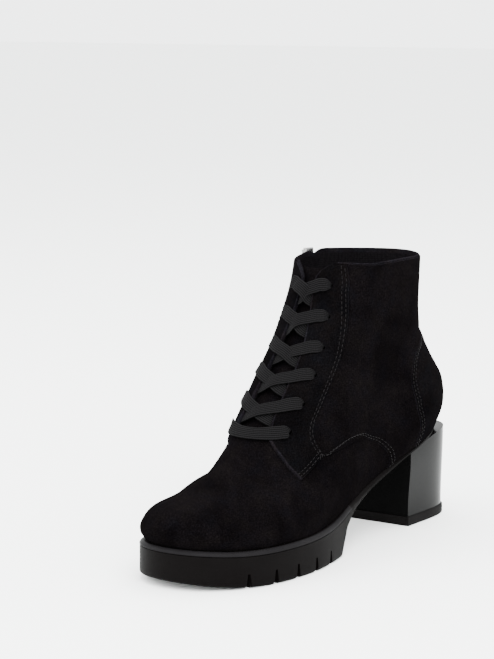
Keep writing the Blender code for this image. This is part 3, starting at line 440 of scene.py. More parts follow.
def build_upper():
    """The hollow wall, with its columns fanned so that one follows the throat's edge."""
    below, above = UPPER_ROWS
    vs = np.unique(
        np.concatenate([np.linspace(0, THROAT_FLOOR, below), np.linspace(THROAT_FLOOR, 1, above)])
    )
    middle, around = UPPER_COLUMNS
    edge = np.where(vs >= THROAT_FLOOR, edge_distance(vs) + THROAT_SETBACK, THROAT_FOOT_HALF)
    halves = []
    for side, back in ((1, 0.0), (-1, 1.0)):
        reach = edge[:, None] * np.linspace(0, 1, middle + 1)[None, :]
        near = beside_ridge(side * reach + side * 1e-9, vs[:, None])
        share = np.linspace(0, 1, around + 1)[None, 1:]
        far = near[:, -1:] + (back - near[:, -1:]) * share
        halves.append(np.concatenate([near, far], axis=1))
    us = np.concatenate([halves[0][:, ::-1], halves[1][:, 1:-1]], axis=1)
    grid_v = np.broadcast_to(vs[:, None], us.shape)
    outer, _ = skin(us, grid_v, 0.0)
    inner, _ = skin(us, grid_v, -UPPER_WALL)
    count = us.shape[1]
    keep = np.ones((len(vs) - 1, count), bool)
    high = (vs[:-1] >= THROAT_FLOOR - 1e-9)[:, None]
    ridge = around + middle
    column = np.arange(count)[None, :]
    keep &= ~(high & (column >= ridge - middle) & (column < ridge + middle))
    centres = (outer[:-1] + np.roll(outer[1:], -1, axis=1)) / 2
    for side in (1, -1):
        holes, _ = skin(*eyelet_places(side), 0.0)
        for hole in holes:
            keep &= np.linalg.norm(centres - hole, axis=2) > EYELET_CLEAR * MM
    # The collar's rim is turned over: a half round from the suede to the lining
    rim_out, rim_in = [], []
    for turn in RIM_TURNS:
        lean = math.sin(math.pi * turn) * RIM_LEAN * MM
        for rows, way in ((rim_out, 1), (rim_in, -1)):
            across = -UPPER_WALL / 2 + way * UPPER_WALL / 2 * math.cos(math.pi * turn)
            points, _ = skin(us[-1], grid_v[-1], across)
            rows.append(points + np.array([0, 0, lean]))
    outer = np.concatenate([outer, np.array(rim_out)])
    inner = np.concatenate([inner, np.array(rim_in)])
    keep = np.concatenate([keep, np.repeat(keep[-1:], len(rim_out), axis=0)])
    points, faces, slots = wall(outer, inner, keep, True)
    rim = len(vs) - 1
    rows = [min(face) % (len(points) // 2) // count for face in faces]
    # The turned rim, and the binding rows next to it, take the edge finish: a painted highlight along the
    # collar.
    slots = [2 if row >= rim - RIM_BINDING * s else min(s, 1) for s, row in zip(slots, rows)]
    made = piece("upper_wall", points, faces, [SUEDE, LINING, SUEDE_EDGE_HIGHLIGHT], slots)
    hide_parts("upper")
    return made


build_upper()


# The quarters: one panel of the same suede that lies over the vamp, from the facings round
# the back. Its front and lower edge is cut, skived and sewn down, so it stands as a step
# of half a leather's thickness.
FACING_REAR = (
    (88.0, 180.0), (92.2, 165.0), (93.4, 157.0), (96.0, 148.0), (100.4, 135.0), (106.5, 121.5),
    (112.0, 111.5), (119.0, 101.0), (128.5, 88.5), (135.8, 79.5), (138.6, 72.0), (137.5, 63.0),
    (138.5, 61.0),
)
VAMP_SEAM = (
    (138.5, 61.0), (131.0, 63.0), (118.0, 66.5), (108.0, 67.5), (99.0, 66.0), (86.5, 61.0),
    (76.5, 54.0), (70.5, 46.0), (67.0, 36.5), (66.0, 28.5),
)
QUARTER_RISE = 0.7
QUARTER_SEAMS = (1.3, 3.1)         # millimetres from the cut edge
QUARTER_SEWN = 0.43                # share of the edge that shows; the facing hides the rest
QUARTER_TOP = 0.9985
QUARTER_POINTS, QUARTER_CELLS = 150, 190
PANEL_SUNK = 0.5          # a panel's underside lies this far inside the wall below it
EDGE_SOFT = (0.0, 0.25, 0.7)       # a cut edge rounds off over these millimetres
EDGE_HEIGHT = (0.30, 0.86, 1.0)
SEARCH_STEPS = 241
SEARCH_NUDGE = 1e-4
SEARCH_LIMIT = 0.01


def on_side(rows, side):
    """u and v of side view points (x from the heel curve, z above the floor), one side."""
    us = np.linspace(0.0, RIDGE, SEARCH_STEPS) if side > 0 else np.linspace(RIDGE, 1.0, SEARCH_STEPS)
    vs = np.linspace(0.0, 1.0, SEARCH_STEPS)
    grid_u, grid_v = np.meshgrid(us, vs)
    shape = last(grid_u, grid_v)[..., [0, 2]] / MM
    found = []
    for x, z in rows:
        target = np.array([x - HEEL_CURVE, z])
        nearest = np.argmin(((shape - target) ** 2).sum(axis=2))
        place = np.array([grid_u.flat[nearest], grid_v.flat[nearest]])
        for _ in range(4):
            probe_u = place[0] + np.array([0, SEARCH_NUDGE, 0])
            probe_v = np.clip(place[1] + np.array([0, 0, -SEARCH_NUDGE]), 0, 1)
            probe = last(probe_u, probe_v)[:, [0, 2]] / MM
            slope = np.stack([probe[1] - probe[0], probe[0] - probe[2]], axis=1) / SEARCH_NUDGE
            step, *_ = np.linalg.lstsq(slope, target - probe[0], rcond=0.05)
            place = place + np.clip(step, -SEARCH_LIMIT, SEARCH_LIMIT)
            place = np.clip(place, (us[0], 0.0), (us[-1], 1.0))
        found.append(place)
    return np.array(found)


def respaced(line, count):
    """The same line of u and v with count points, evenly spaced over the last."""
    run = np.linspace(0, 1, len(line))
    fine = np.linspace(0, 1, 40 * len(line))
    us, vs = (curve(run, line[:, k], fine) for k in (0, 1))
    vs = np.clip(vs, 0, 1)
    lengths = np.linalg.norm(np.diff(last(us, vs), axis=0), axis=1)
    total = np.concatenate([[0], np.cumsum(lengths)])
    wanted = np.linspace(0, total[-1], count)
    return np.stack([np.interp(wanted, total, us), np.interp(wanted, total, vs)], axis=1)


def spaced_shares(length, cells):
    """Shares across a panel, close together at its two soft edges, and their heights."""
    soft = [min(e / length, 0.3) for e in EDGE_SOFT]
    inside = np.linspace(soft[-1], 1 - soft[-1], cells + 1)
    shares = np.concatenate([soft[:-1], inside, [1 - s for s in reversed(soft[:-1])]])
    heights = np.ones(len(shares))
    heights[: len(EDGE_HEIGHT)] = EDGE_HEIGHT
    heights[-len(EDGE_HEIGHT) :] = EDGE_HEIGHT[::-1]
    return shares, heights


def across_panel(side_a, side_b):
    """Millimetres from each point of one line to its fellow, measured over the last."""
    steps = side_a + (side_b - side_a) * np.linspace(0, 1, 33)[:, None, None]
    points = last(steps[..., 0], steps[..., 1])
    return np.linalg.norm(np.diff(points, axis=0), axis=2).sum(axis=0) / MM


def panel_grid(side_a, side_b, cells):
    """u, v and edge heights of a panel between two lines of as many points."""
    across, across_height = spaced_shares(max(across_panel(side_a, side_b).mean(), 4.0), cells)
    edge = last(side_a[:, 0], side_a[:, 1])
    length = np.linalg.norm(np.diff(edge, axis=0), axis=1).sum() / MM
    down, down_height = spaced_shares(length, len(side_a) - 1)
    run = np.linspace(0, 1, len(side_a))
    a, b = (
        np.stack([np.interp(down, run, line[:, k]) for k in (0, 1)], axis=1)
        for line in (side_a, side_b)
    )
    grid = a[:, None, :] + (b - a)[:, None, :] * across[None, :, None]
    return grid[..., 0], grid[..., 1], down_height[:, None] * across_height[None, :]


SEAM_DEPTH = 0.32
SEAM_HALF = 0.8


def pressed(points, normals, seams):
    """Points pulled down along sewn lines."""
    if not len(seams):
        return points
    tree = kdtree.KDTree(sum(len(line) for line in seams))
    for index, place in enumerate(np.concatenate(seams)):
        tree.insert(place, index)
    tree.balance()
    flat = points.reshape(-1, 3)
    gaps = np.array([tree.find(p)[2] for p in flat]).reshape(points.shape[:-1]) / MM
    return points - normals * (SEAM_DEPTH * np.exp(-((gaps / SEAM_HALF) ** 2)))[..., None] * MM


def panel(name, side_a, side_b, cells, rise, finish, seams=(), replaces=(), fold_highlight=0):
    """A suede panel on the upper, soft at its cut edges; these and strips along side_a get a painted
    highlight.
    """
    us, vs, height = panel_grid(side_a, side_b, cells)
    outer, normals = skin(us, vs, rise * height)
    outer = pressed(outer, normals, seams)
    inner, _ = skin(us, vs, -PANEL_SUNK)
    keep = np.ones((us.shape[0] - 1, us.shape[1] - 1), bool)
    points, faces, slots = wall(outer, inner, keep, False)
    edge_rows = len(EDGE_SOFT) - 1
    # The outermost rows, the cut edges and the strips along side_a take the edge finish, a painted
    # highlight.
    for number, slot_now in enumerate(slots):
        if slot_now == 0:
            i, j = divmod(faces[number][0], us.shape[1])
            to_edge = min(i, j, keep.shape[0] - 1 - i, keep.shape[1] - 1 - j)
            edged = to_edge < edge_rows - 1 or j < fold_highlight
            slots[number] = 1 if edged else 0
        else:
            slots[number] = 1
    made = piece(name, points, faces, [finish, SUEDE_EDGE_HIGHLIGHT], slots)
    if replaces:
        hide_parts(*replaces)
    return made


def inset_line(side_a, side_b, millimetres):
    """The line that runs beside side_a, this many millimetres towards side_b."""
    width = across_panel(side_a, side_b)
    share = np.minimum(millimetres / np.maximum(width, 1.0), 0.5)[:, None]
    return side_a + (side_b - side_a) * share


def polyester_thread():
    """Bonded polyester sewing thread, black, with a faint gloss that picks it out."""
    finish, tree, shader = new_finish("bonded_thread_black")
    where = add_node(tree, "TexCoord", {}, {}).outputs["Object"]
    # The twist of its plies, about 0.6 mm long
    twist = add_node(
        tree, "TexWave", {"bands_direction": "DIAGONAL"},
        {"Vector": where, "Scale": 620.0, "Distortion": 1.5},
    ).outputs["Fac"]
    shade = add_node(
        tree, "ValToRGB", {}, {"Fac": twist}, [(0.2, "#080708"), (0.8, "#0f0d0e")]
    ).outputs["Color"]
    tree.links.new(shade, shader.inputs["Base Color"])
    shader.inputs["Roughness"].default_value = 0.5
    shader.inputs["Specular IOR Level"].default_value = 0.03
    return finish


THREAD = polyester_thread()


def running_length(places):
    """Millimetres along a line of points, from its start to each of them."""
    return np.concatenate([[0], np.cumsum(np.linalg.norm(np.diff(places, axis=0), axis=1))]) / MM


def along_line(centre, reach, run, places, normals):
    """Place, direction and normal at a length along a line; reach spans the direction."""
    at_point, ahead, behind, normal = (
        np.array([np.interp(at, run, values[:, k]) for k in range(3)])
        for at, values in (
            (centre, places), (centre + reach, places), (centre - reach, places), (centre, normals),
        )
    )
    return at_point, unit(ahead - behind), normal


THREAD_THICK = 0.55
STITCH_LENGTH = 2.3
STITCH_GAP = 0.75
STITCH_SINK = 0.15        # the thread is drawn this far into the suede
STITCH_SIDES = 6
# One stitch from end to end: shares of its length, of its radius and of its rise
STITCH_SHAPE = (
    (-0.5, 0.35, -0.42), (-0.36, 0.85, 0.02), (0.0, 1.0, 0.16), (0.36, 0.85, 0.02), (0.5, 0.35, -0.42),
)


def stitches(name, lines, rise, length=STITCH_LENGTH):
    """Lock stitches along lines of u and v, each a short thread that dips at both ends."""
    along, round_about, up = np.array(STITCH_SHAPE).T[:, :, None, None]
    turns = np.linspace(0, 2 * np.pi, STITCH_SIDES, endpoint=False)[None, :, None]
    radius = round_about * THREAD_THICK / 2
    all_points, faces = [], []
    for line in lines:
        line = respaced(line, max(int(len(line) * 6), 60))
        places, normals = skin(line[:, 0], line[:, 1], rise)
        run = running_length(places)
        for centre in np.arange(length / 2, run[-1] - length / 2, length + STITCH_GAP):
            p, t, n = along_line(centre, 0.6, run, places, normals)
            n = unit(n - t * (n @ t))
            b = np.cross(t, n)
            rings = (
                p
                + t * (along * length * MM)
                + n * ((up * THREAD_THICK + radius * np.sin(turns)) * MM)
                + b * (radius * np.cos(turns) * MM)
            )
            first = sum(len(points) for points in all_points)
            all_points.append(rings.reshape(-1, 3))
            sides = range(STITCH_SIDES)
            for ring in range(len(STITCH_SHAPE) - 1):
                low = first + STITCH_SIDES * ring
                high = low + STITCH_SIDES
                faces += [
                    (low + j, low + (j + 1) % STITCH_SIDES, high + (j + 1) % STITCH_SIDES, high + j)
                    for j in sides
                ]
            faces.append(tuple(first + j for j in sides))
            faces.append(tuple(high + j for j in reversed(sides)))
    made = piece(name, np.concatenate(all_points), faces, [THREAD], sharp=80)
    return made


def lines_in_space(lines, rise):
    """The same lines as points in space, close together."""
    spaced = [respaced(line, 260) for line in lines]
    return [skin(line[:, 0], line[:, 1], rise)[0] for line in spaced]


def quarter_edge(side):
    """The quarter's lower and front edge on one side, from the feather edge to the collar."""
    low = on_side(VAMP_SEAM[::-1], side)
    high = on_side(FACING_REAR[::-1], side)[2:]
    high = high[high[:, 1] < 0.999]
    line = np.concatenate([low, high, [[high[-1, 0], QUARTER_TOP]]])
    return respaced(line, QUARTER_POINTS)


outer_edge, inner_edge = quarter_edge(1), quarter_edge(-1)
inner_edge[:, 0] -= 1.0   # the same places one turn back, so that the panel goes round the heel
sewn = int(QUARTER_POINTS * QUARTER_SEWN)
quarter_seams = [
    inset_line(a, b, distance)[:sewn]
    for a, b in ((outer_edge, inner_edge), (inner_edge, outer_edge))
    for distance in QUARTER_SEAMS
]
panel(
    "quarters", outer_edge, inner_edge, QUARTER_CELLS, QUARTER_RISE, SUEDE,
    lines_in_space(quarter_seams, QUARTER_RISE),
)
stitches("quarter_stitching", quarter_seams, QUARTER_RISE - STITCH_SINK)


# The facings: two long suede pieces with the eyelet holes, sewn on over quarter and vamp
# with a double row along the back edge and round the point. Their front edge is folded.
FACING_RISE = 1.5
FACING_SEAMS = (1.4, 3.4)
FACING_TOP = 0.994
FACING_POINTS, FACING_CELLS = 130, 34
FACING_ABOVE_POINT = 8    # the line with this number shows which way the point's seams go in
FACING_FOLD_HIGHLIGHT = 3           # strips of the front edge that are folded under, painted lighter as a highlight on the fold
FACING_POINT_LINE = ((138.5, 61.0), (159.5, 51.0))


def facing_edges(side):
    """Front and back edge of one facing, from its point up to the collar."""
    levels = np.linspace(THROAT_EDGE[0][0], FACING_TOP, 400)
    front = np.stack([beside_ridge(side * edge_distance(levels), levels), levels], axis=1)
    places = last(front[:, 0], front[:, 1]) / MM
    (x0, z0), (x1, z1) = FACING_POINT_LINE
    above = places[:, 2] - (z0 + (places[:, 0] + HEEL_CURVE - x0) * (z1 - z0) / (x1 - x0))
    front = front[np.flatnonzero(above > 0)[0] :]
    back = on_side(FACING_REAR[:-1][::-1], side)
    back = back[back[:, 1] < 0.99]
    back = np.concatenate([on_side(FACING_POINT_LINE[:1], side), back, [[back[-1, 0], FACING_TOP]]])
    return respaced(front, FACING_POINTS), respaced(back, FACING_POINTS)


PUNCH_SIDES = 20
PUNCH_DEPTH = 8.0


def eyelet_cutter(side):
    """Six round punches, square to the facing, as one hidden tool."""
    us, vs = eyelet_places(side)
    centres, normals = skin(us, vs, 0.0)
    work = bmesh.new()
    for centre, normal in zip(centres, normals):
        turned = Vector(normal).to_track_quat("Z", "Y").to_matrix().to_4x4()
        turned.translation = Vector(centre)
        bmesh.ops.create_cone(
            work, cap_ends=True, segments=PUNCH_SIDES, radius1=EYELET_RADIUS * MM,
            radius2=EYELET_RADIUS * MM, depth=PUNCH_DEPTH * MM, matrix=turned,
        )
    mesh = bpy.data.meshes.new("punch")
    work.to_mesh(mesh)
    work.free()
    tool = bpy.data.objects.new("punch", mesh)
    bpy.context.scene.collection.objects.link(tool)
    return tool


def cut_away(made, tool):
    """Cut the piece with a tool, keep the result and throw the tool away."""
    boolean = made.modifiers.new("cut", "BOOLEAN")
    boolean.object = tool
    boolean.operation = "DIFFERENCE"
    boolean.solver = "EXACT"
    bpy.context.view_layer.update()
    graph = bpy.context.evaluated_depsgraph_get()
    mesh = bpy.data.meshes.new_from_object(made.evaluated_get(graph))
    made.modifiers.clear()
    old, made.data = made.data, mesh
    bpy.data.meshes.remove(old)
    bpy.data.objects.remove(tool, do_unlink=True)


for side, name in ((1, "facing_outer"), (-1, "facing_inner")):
    front, back = facing_edges(side)
    shares = np.linspace(0, 1, 60)[:, None]
    point_line = shares * (front[0] - back[0]) + back[0]
    above = FACING_ABOVE_POINT
    point_above = shares * (front[above] - back[above]) + back[above]
    rows = [inset_line(back, front, distance) for distance in FACING_SEAMS]
    rows += [inset_line(point_line, point_above, distance) for distance in FACING_SEAMS]
    made = panel(
        name + "_suede", front, back, FACING_CELLS, FACING_RISE, SUEDE_TRIM,
        lines_in_space(rows, FACING_RISE), (name,), FACING_FOLD_HIGHLIGHT,
    )
    cut_away(made, eyelet_cutter(side))
    stitches(name + "_stitching", rows, FACING_RISE - STITCH_SINK)


# The counter: a suede backstay that wraps the heel from the sole's seat up to the ankle,
# sewn down along its edge with one close double row.
COUNTER_FRONT = (
    (44.5, 45.5), (45.4, 60.5), (47.4, 69.5), (48.6, 78.5), (50.4, 89.0), (49.6, 96.0),
    (45.5, 104.5), (38.0, 111.5), (26.0, 117.5), (10.0, 120.3),
)
COUNTER_RISE = 1.5
COUNTER_SEAMS = (1.2, 2.8)
COUNTER_STITCH = 1.7      # its stitches are shorter than the others
COUNTER_POINTS, COUNTER_CELLS = 110, 90
SEAM_STOPS = 12           # points of the edge at the back's middle that are left unsewn


def counter_edge(side):
    """The counter's front edge on one side, from the feather edge to the back's middle."""
    line = on_side(COUNTER_FRONT, side)
    if side < 0:
        line[:, 0] -= 1.0
    line = np.concatenate([line, [[0.0, line[-1, 1] + 0.004]]])
    return respaced(line, COUNTER_POINTS)


counter_outer, counter_inner = counter_edge(1), counter_edge(-1)
counter_seams = [
    inset_line(a, b, distance)[:-SEAM_STOPS]
    for a, b in ((counter_outer, counter_inner), (counter_inner, counter_outer))
    for distance in COUNTER_SEAMS
]
panel(
    "counter_suede", counter_outer, counter_inner, COUNTER_CELLS, COUNTER_RISE, SUEDE_TRIM,
    lines_in_space(counter_seams, COUNTER_RISE), ("counter",),
)
stitches("counter_stitching", counter_seams, COUNTER_RISE - STITCH_SINK, COUNTER_STITCH)


# The tongue: a padded suede sheet under the laces, sewn in at the throat's lower end.
TONGUE_ROWS = ((0.53, 16.0), (0.60, 20.0), (0.80, 22.0), (0.96, 21.0), (0.985, 17.0))
TONGUE_OUT = -2.5         # its middle lies this far inside the last's skin
TONGUE_THICK = 2.2
TONGUE_MESH = (90, 49)


def build_tongue():
    """The sheet, thickest along its middle and thin at its edges."""
    levels, widths = np.array(TONGUE_ROWS).T
    vs = np.linspace(levels[0], levels[-1], TONGUE_MESH[0])
    shares = np.linspace(1, -1, TONGUE_MESH[1])
    reach = np.interp(vs, levels, widths)
    us = beside_ridge(reach[:, None] * shares[None, :], vs[:, None])
    grid_v = np.broadcast_to(vs[:, None], us.shape)
    belly = np.sqrt(np.clip(1 - shares**6, 0, 1))[None, :] * np.ones((len(vs), 1))
    belly *= np.sqrt(np.clip(1 - np.linspace(-1, 1, len(vs)) ** 14, 0, 1))[:, None]
    outer, _ = skin(us, grid_v, TONGUE_OUT - TONGUE_THICK / 2 * (1 - belly))
    inner, _ = skin(us, grid_v, TONGUE_OUT - TONGUE_THICK / 2 * (1 + belly))
    keep = np.ones((us.shape[0] - 1, us.shape[1] - 1), bool)
    points, faces, slots = wall(outer, inner, keep, False)
    made = piece("tongue_padded", points, faces, [SUEDE, LINING], [min(s, 1) for s in slots])
    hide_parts("tongue")


build_tongue()


# The lace: one flat charcoal cotton lace 8 mm wide with ribs along it. It lies straight
# across the lowest eyelets, then each strand comes up from under one facing, crosses the
# other and goes down through the opposite eyelet; its ends stay inside the top eyelets.
LACE_WIDTH = 8.0
LACE_THICK = 1.15
LACE_RIBS = 7
RIB_DEPTH = 0.16          # share of the thickness
LACE_CUP = 1.6            # how far its edges curl up where an eyelet gathers it
LACE_RINGS = 64
LACE_REST = 1.65          # underside of the lace above the last, on a facing
OUTER_ON_TOP = (1, 2, 4)  # crossings where the strand to the outer side lies on top


def ribbed_cotton():
    """Flat woven cotton: grey charcoal ribs along the lace, dark lines between them."""
    finish, tree, shader = new_finish("flat_cotton_lace")
    across = add_node(tree, "UVMap", {"uv_map": "weave"}, {}).outputs[0]
    # Threads are 0.5 mm apart; they are drawn 1.1 mm apart so that they show
    picks = add_node(
        tree, "TexWave", {"bands_direction": "X", "wave_profile": "TRI"},
        {"Vector": across, "Scale": 0.28, "Distortion": 0.6, "Detail": 1.0, "Detail Scale": 2.0},
    ).outputs["Fac"]
    # Ribs 1.15 mm apart, seven across the lace
    ribs = add_node(
        tree, "TexWave", {"bands_direction": "Y"},
        {"Vector": across, "Scale": 0.27, "Distortion": 0.15},
    ).outputs["Fac"]
    height = add_node(
        tree, "Math", {"operation": "MULTIPLY_ADD"}, {0: picks, 1: 0.2, 2: ribs}
    ).outputs[0]
    shade = add_node(
        tree, "ValToRGB", {}, {"Fac": height}, [(0.20, "#050505"), (0.55, "#0b0b0b"), (0.95, "#100f10")]
    ).outputs["Color"]
    bump = add_node(tree, "Bump", {}, {"Height": height, "Distance": 0.0003, "Strength": 0.8})
    tree.links.new(shade, shader.inputs["Base Color"])
    tree.links.new(bump.outputs[0], shader.inputs["Normal"])
    shader.inputs["Roughness"].default_value = 0.85
    shader.inputs["Specular IOR Level"].default_value = 0.01
    shader.inputs["Sheen Weight"].default_value = 0.003
    return finish


COTTON = ribbed_cotton()


def lace_strand(route, widths):
    """Rings of points along a strand, from its route of distance, level and height."""
    distances, levels, heights = np.array(route, float).T
    us = beside_ridge(distances, levels)
    knots, normals = skin(us, levels, heights)
    chord = np.concatenate([[0], np.cumsum(np.linalg.norm(np.diff(knots, axis=0), axis=1))])
    at = np.linspace(0, chord[-1], LACE_RINGS)
    line = np.stack([curve(chord, knots[:, k], at) for k in range(3)], axis=1)
    facing = unit(np.stack([np.interp(at, chord, normals[:, k]) for k in range(3)], axis=1))
    wide = curve(chord, widths, at)
    forward = unit(np.gradient(line, axis=0))
    up_the_boot = unit(skin(RIDGE, 0.9)[0] - skin(RIDGE, 0.6)[0])
    square = np.cross(forward, facing)
    steep = np.abs((forward * facing).sum(axis=1))[:, None]
    way = np.where((square @ up_the_boot)[:, None] < 0, -1, 1)
    guide = square * (1 - steep) + way * up_the_boot * steep
    side = unit(guide - forward * (guide * forward).sum(axis=1, keepdims=True))
    lift = unit(np.cross(side, forward))
    lift *= np.where((lift * facing).sum(axis=1, keepdims=True) < 0, -1, 1)
    count = 2 * LACE_RIBS + 1
    share = np.linspace(-1, 1, count)
    ribs = 0.5 + 0.5 * np.cos(share * np.pi * LACE_RIBS)
    thick = LACE_THICK * (np.sqrt(np.clip(1 - share**8, 0, 1)) * (1 - RIB_DEPTH + RIB_DEPTH * ribs))
    rings = []
    for k in range(len(at)):
        narrow = wide[k] / LACE_WIDTH
        cup = (1 - narrow) * LACE_CUP * (share**2 - 0.3)
        flat = line[k] + side[k] * (share * wide[k] / 2 * MM)[:, None]
        top, bottom = (
            flat + lift[k] * ((LACE_THICK / 2 + way * thick / 2 + cup) * MM)[:, None]
            for way in (1, -1)
        )
        rings.append(np.concatenate([top, bottom[::-1]]))
    return np.array(rings), at / MM, count


def lace_piece(name, strands, replaces):
    """One or two strands as one piece, with the weave's own coordinates."""
    points, faces, weave = [], [], []
    for rings, run, count in strands:
        first = sum(len(p) for p in points)
        size = 2 * count
        points.append(rings.reshape(-1, 3))
        across = np.concatenate([np.linspace(0, LACE_WIDTH, count), np.linspace(LACE_WIDTH, 0, count)])
        weave.append(np.stack(np.broadcast_arrays(run[:, None], across[None, :]), axis=2).reshape(-1, 2))
        for low in range(first, first + (len(run) - 1) * size, size):
            high = low + size
            faces += [
                (low + j, low + (j + 1) % size, high + (j + 1) % size, high + j) for j in range(size)
            ]
        end = first + (len(run) - 1) * size
        faces.append(tuple(first + j for j in reversed(range(size))))
        faces.append(tuple(end + j for j in range(size)))
    mesh_points = np.concatenate(points)
    made = bpy.data.objects.new(name, bpy.data.meshes.new(name))
    made.data.from_pydata(mesh_points.tolist(), [], faces)
    layer = made.data.uv_layers.new(name="weave")
    flat = np.concatenate(weave)
    corners = np.empty(len(made.data.loops), np.int32)
    made.data.loops.foreach_get("vertex_index", corners)
    layer.data.foreach_set("uv", flat[corners].ravel().astype(np.float32))
    made.data.materials.append(COTTON)
    made.data.shade_smooth()
    made.data.set_sharp_from_angle(angle=math.radians(70))
    bpy.context.scene.collection.objects.link(made)
    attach(made, "boot")
    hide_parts(replaces)
    return made


def into_eyelet(side, level, distance):
    """The last knots of a strand, over the facing's suede and down through its eyelet."""
    return [
        (side * (distance - 5.5), level, LACE_REST + 0.15),
        (side * (distance - 1.9), level, LACE_REST),
        (side * (distance - 0.3), level, LACE_REST - 1.3),
        (side * distance, level, -2.2),
    ]


EYELET_WIDTHS = [LACE_WIDTH, 7.0, 3.4, 3.0]
TUCKED_WIDTH = 7.4        # where a strand comes out from under a facing
level, distance = EYELET_ROWS[0]
bar = into_eyelet(-1, level, distance)[::-1]
bar += [(-6.0, level, LACE_REST - 0.3), (6.0, level, LACE_REST - 0.3)]
bar += into_eyelet(1, level, distance)
bar_widths = EYELET_WIDTHS[::-1] + [LACE_WIDTH, LACE_WIDTH] + EYELET_WIDTHS
lace_piece("lace_bar_cotton", [lace_strand(bar, bar_widths)], "lace_bar")
for number in range(1, len(EYELET_ROWS)):
    level, distance = EYELET_ROWS[number]
    rise = level - EYELET_ROWS[number - 1][0]
    start = level - 0.5 * rise
    edge = float(edge_distance(start))
    near = float(edge_distance(level))
    strands = []
    for side in (1, -1):
        over = (side > 0) == (number in OUTER_ON_TOP)
        middle = 1.75 if over else 0.45
        # A narrow throat lifts the strands, as both facings are close under them
        lift = 0.0 if edge > LACE_WIDTH else 1.2
        on_facing = LACE_REST + 0.25 + (0.6 if over and lift else 0.0)
        route = [
            (-side * (edge + 0.9), start - 0.02 * rise, -1.3),
            (-side * (edge - 2.0), start + 0.05 * rise, -0.6 + lift * 0.5),
            (0.0, start + 0.25 * rise, middle + lift),
            (side * (near + 1.5), start + 0.42 * rise, on_facing),
        ] + into_eyelet(side, level, distance)
        # Where the facing shows only a little of the strand, two knots would lie too close
        if near + 1.5 > distance - 7.5:
            del route[4]
        widths = [TUCKED_WIDTH] + 3 * [LACE_WIDTH] + EYELET_WIDTHS[-(len(route) - 4) :]
        strands.append(lace_strand(route, widths))
    lace_piece(f"lace_crossing_{number + 1}_cotton", strands, f"lace_crossing_{number + 1}")


# The outsole: one moulding in black thermoplastic rubber. A thick platform with a bevelled
# lip, painted lighter than the rest as a highlight where it catches the light, five tapered
# slots between the lugs on each side, a thin waist and a seat for the heel; the upper is
# cemented on it.
SOLE_COLUMNS = 300
PLATFORM_BACK = (114.0, 130.0)     # columns are four times as close between these
# Rows of x from the heel curve with, in turn, how far the sole stands out from the feather
# line, the waist's thickness, and the height of the platform's tread
SOLE_LIP = ((-12.0, 1.0), (60.0, 1.0), (104.0, 1.6), (121.0, 2.8), (140.0, 3.2), (260.0, 3.2))
WAIST_SOLE = ((-12.0, 3.0), (48.0, 3.0), (70.0, 4.0), (90.0, 4.6), (105.0, 6.0), (118.0, 11.0))
PLATFORM_FLOOR = (
    (118.0, 14.0), (126.0, 0.0), (200.0, 0.0), (214.0, 0.8), (228.0, 2.6), (246.0, 6.0),
)
# Rings of the sole's side, from the tread up: inset from the lip's line, then the height
# above the tread, at most a quarter of the thickness
LOWER_RINGS = ((1.5, 0.0), (1.1, 0.06), (0.3, 0.75), (0.0, 1.5), (0.0, 4.0))
# and the depth below the bed, at most four tenths of the thickness
UPPER_RINGS = (
    (0.15, 3.1), (0.5, 2.9), (0.5, 2.7), (0.05, 2.5), (0.0, 2.1), (0.5, 1.2), (1.3, 0.5),
    (2.0, 0.05), (3.4, 0.0),
)
LIP_RINGS = (8, 12)       # the bevelled lip lies between these rings
LIP_START = 110.0         # and from here forward
LUG_SLOTS = 5
FIRST_SLOT = 143.0
SLOT_PITCH = 17.0
SLOT_FOOT_HALF = 2.0
SLOT_HEAD_HALF = 0.7
SLOT_TOP = 8.2
SLOT_SIDES = ((22.0, 60.0), (-60.0, -22.0))
CHANNEL_HALF = 1.3        # the slots run on across the tread as shallow channels
CHANNEL_TOP = 1.6
CHANNEL_SIDES = (-18.0, 18.0)


def moulded_rubber(name, base, light, rough):
    """Moulded rubber: an even satin black, with the mould's faint grain."""
    finish, tree, shader = new_finish(name)
    where = add_node(tree, "TexCoord", {}, {}).outputs["Object"]
    cloud = add_node(tree, "TexNoise", {}, {"Vector": where, "Scale": 70.0, "Detail": 4.0}).outputs["Fac"]
    shade = add_node(
        tree, "ValToRGB", {}, {"Fac": cloud}, [(0.35, base), (0.65, light)]
    ).outputs["Color"]
    # Spark erosion grain, 0.4 mm across
    grain = add_node(tree, "TexNoise", {}, {"Vector": where, "Scale": 2400.0, "Detail": 1.0}).outputs["Fac"]
    bump = add_node(tree, "Bump", {}, {"Height": grain, "Distance": 0.0001, "Strength": 0.5})
    tree.links.new(shade, shader.inputs["Base Color"])
    tree.links.new(bump.outputs[0], shader.inputs["Normal"])
    shader.inputs["Roughness"].default_value = rough
    shader.inputs["IOR"].default_value = 1.5
    shader.inputs["Specular IOR Level"].default_value = 0.02
    return finish


RUBBER = moulded_rubber("thermoplastic_rubber_black", "#040303", "#050404", 0.55)
# The lip finish is lighter than the sole's rubber: a painted highlight on the bevel.
RUBBER_LIP_HIGHLIGHT = moulded_rubber("thermoplastic_rubber_lip_painted_highlight", "#0e0d0e", "#111011", 0.5)


def sole_top(x):
    """Upper face of the sole, in millimetres, just under the feather line."""
    return feather_height(x) - 0.3


def sole_bottom(x):
    """Lower face: thin at the waist, flat under the platform, sprung at the toe."""
    waist = sole_top(x) - np.interp(x, *np.array(WAIST_SOLE).T)
    return np.where(x < PLATFORM_FLOOR[0][0], waist, np.interp(x, *np.array(PLATFORM_FLOOR).T))


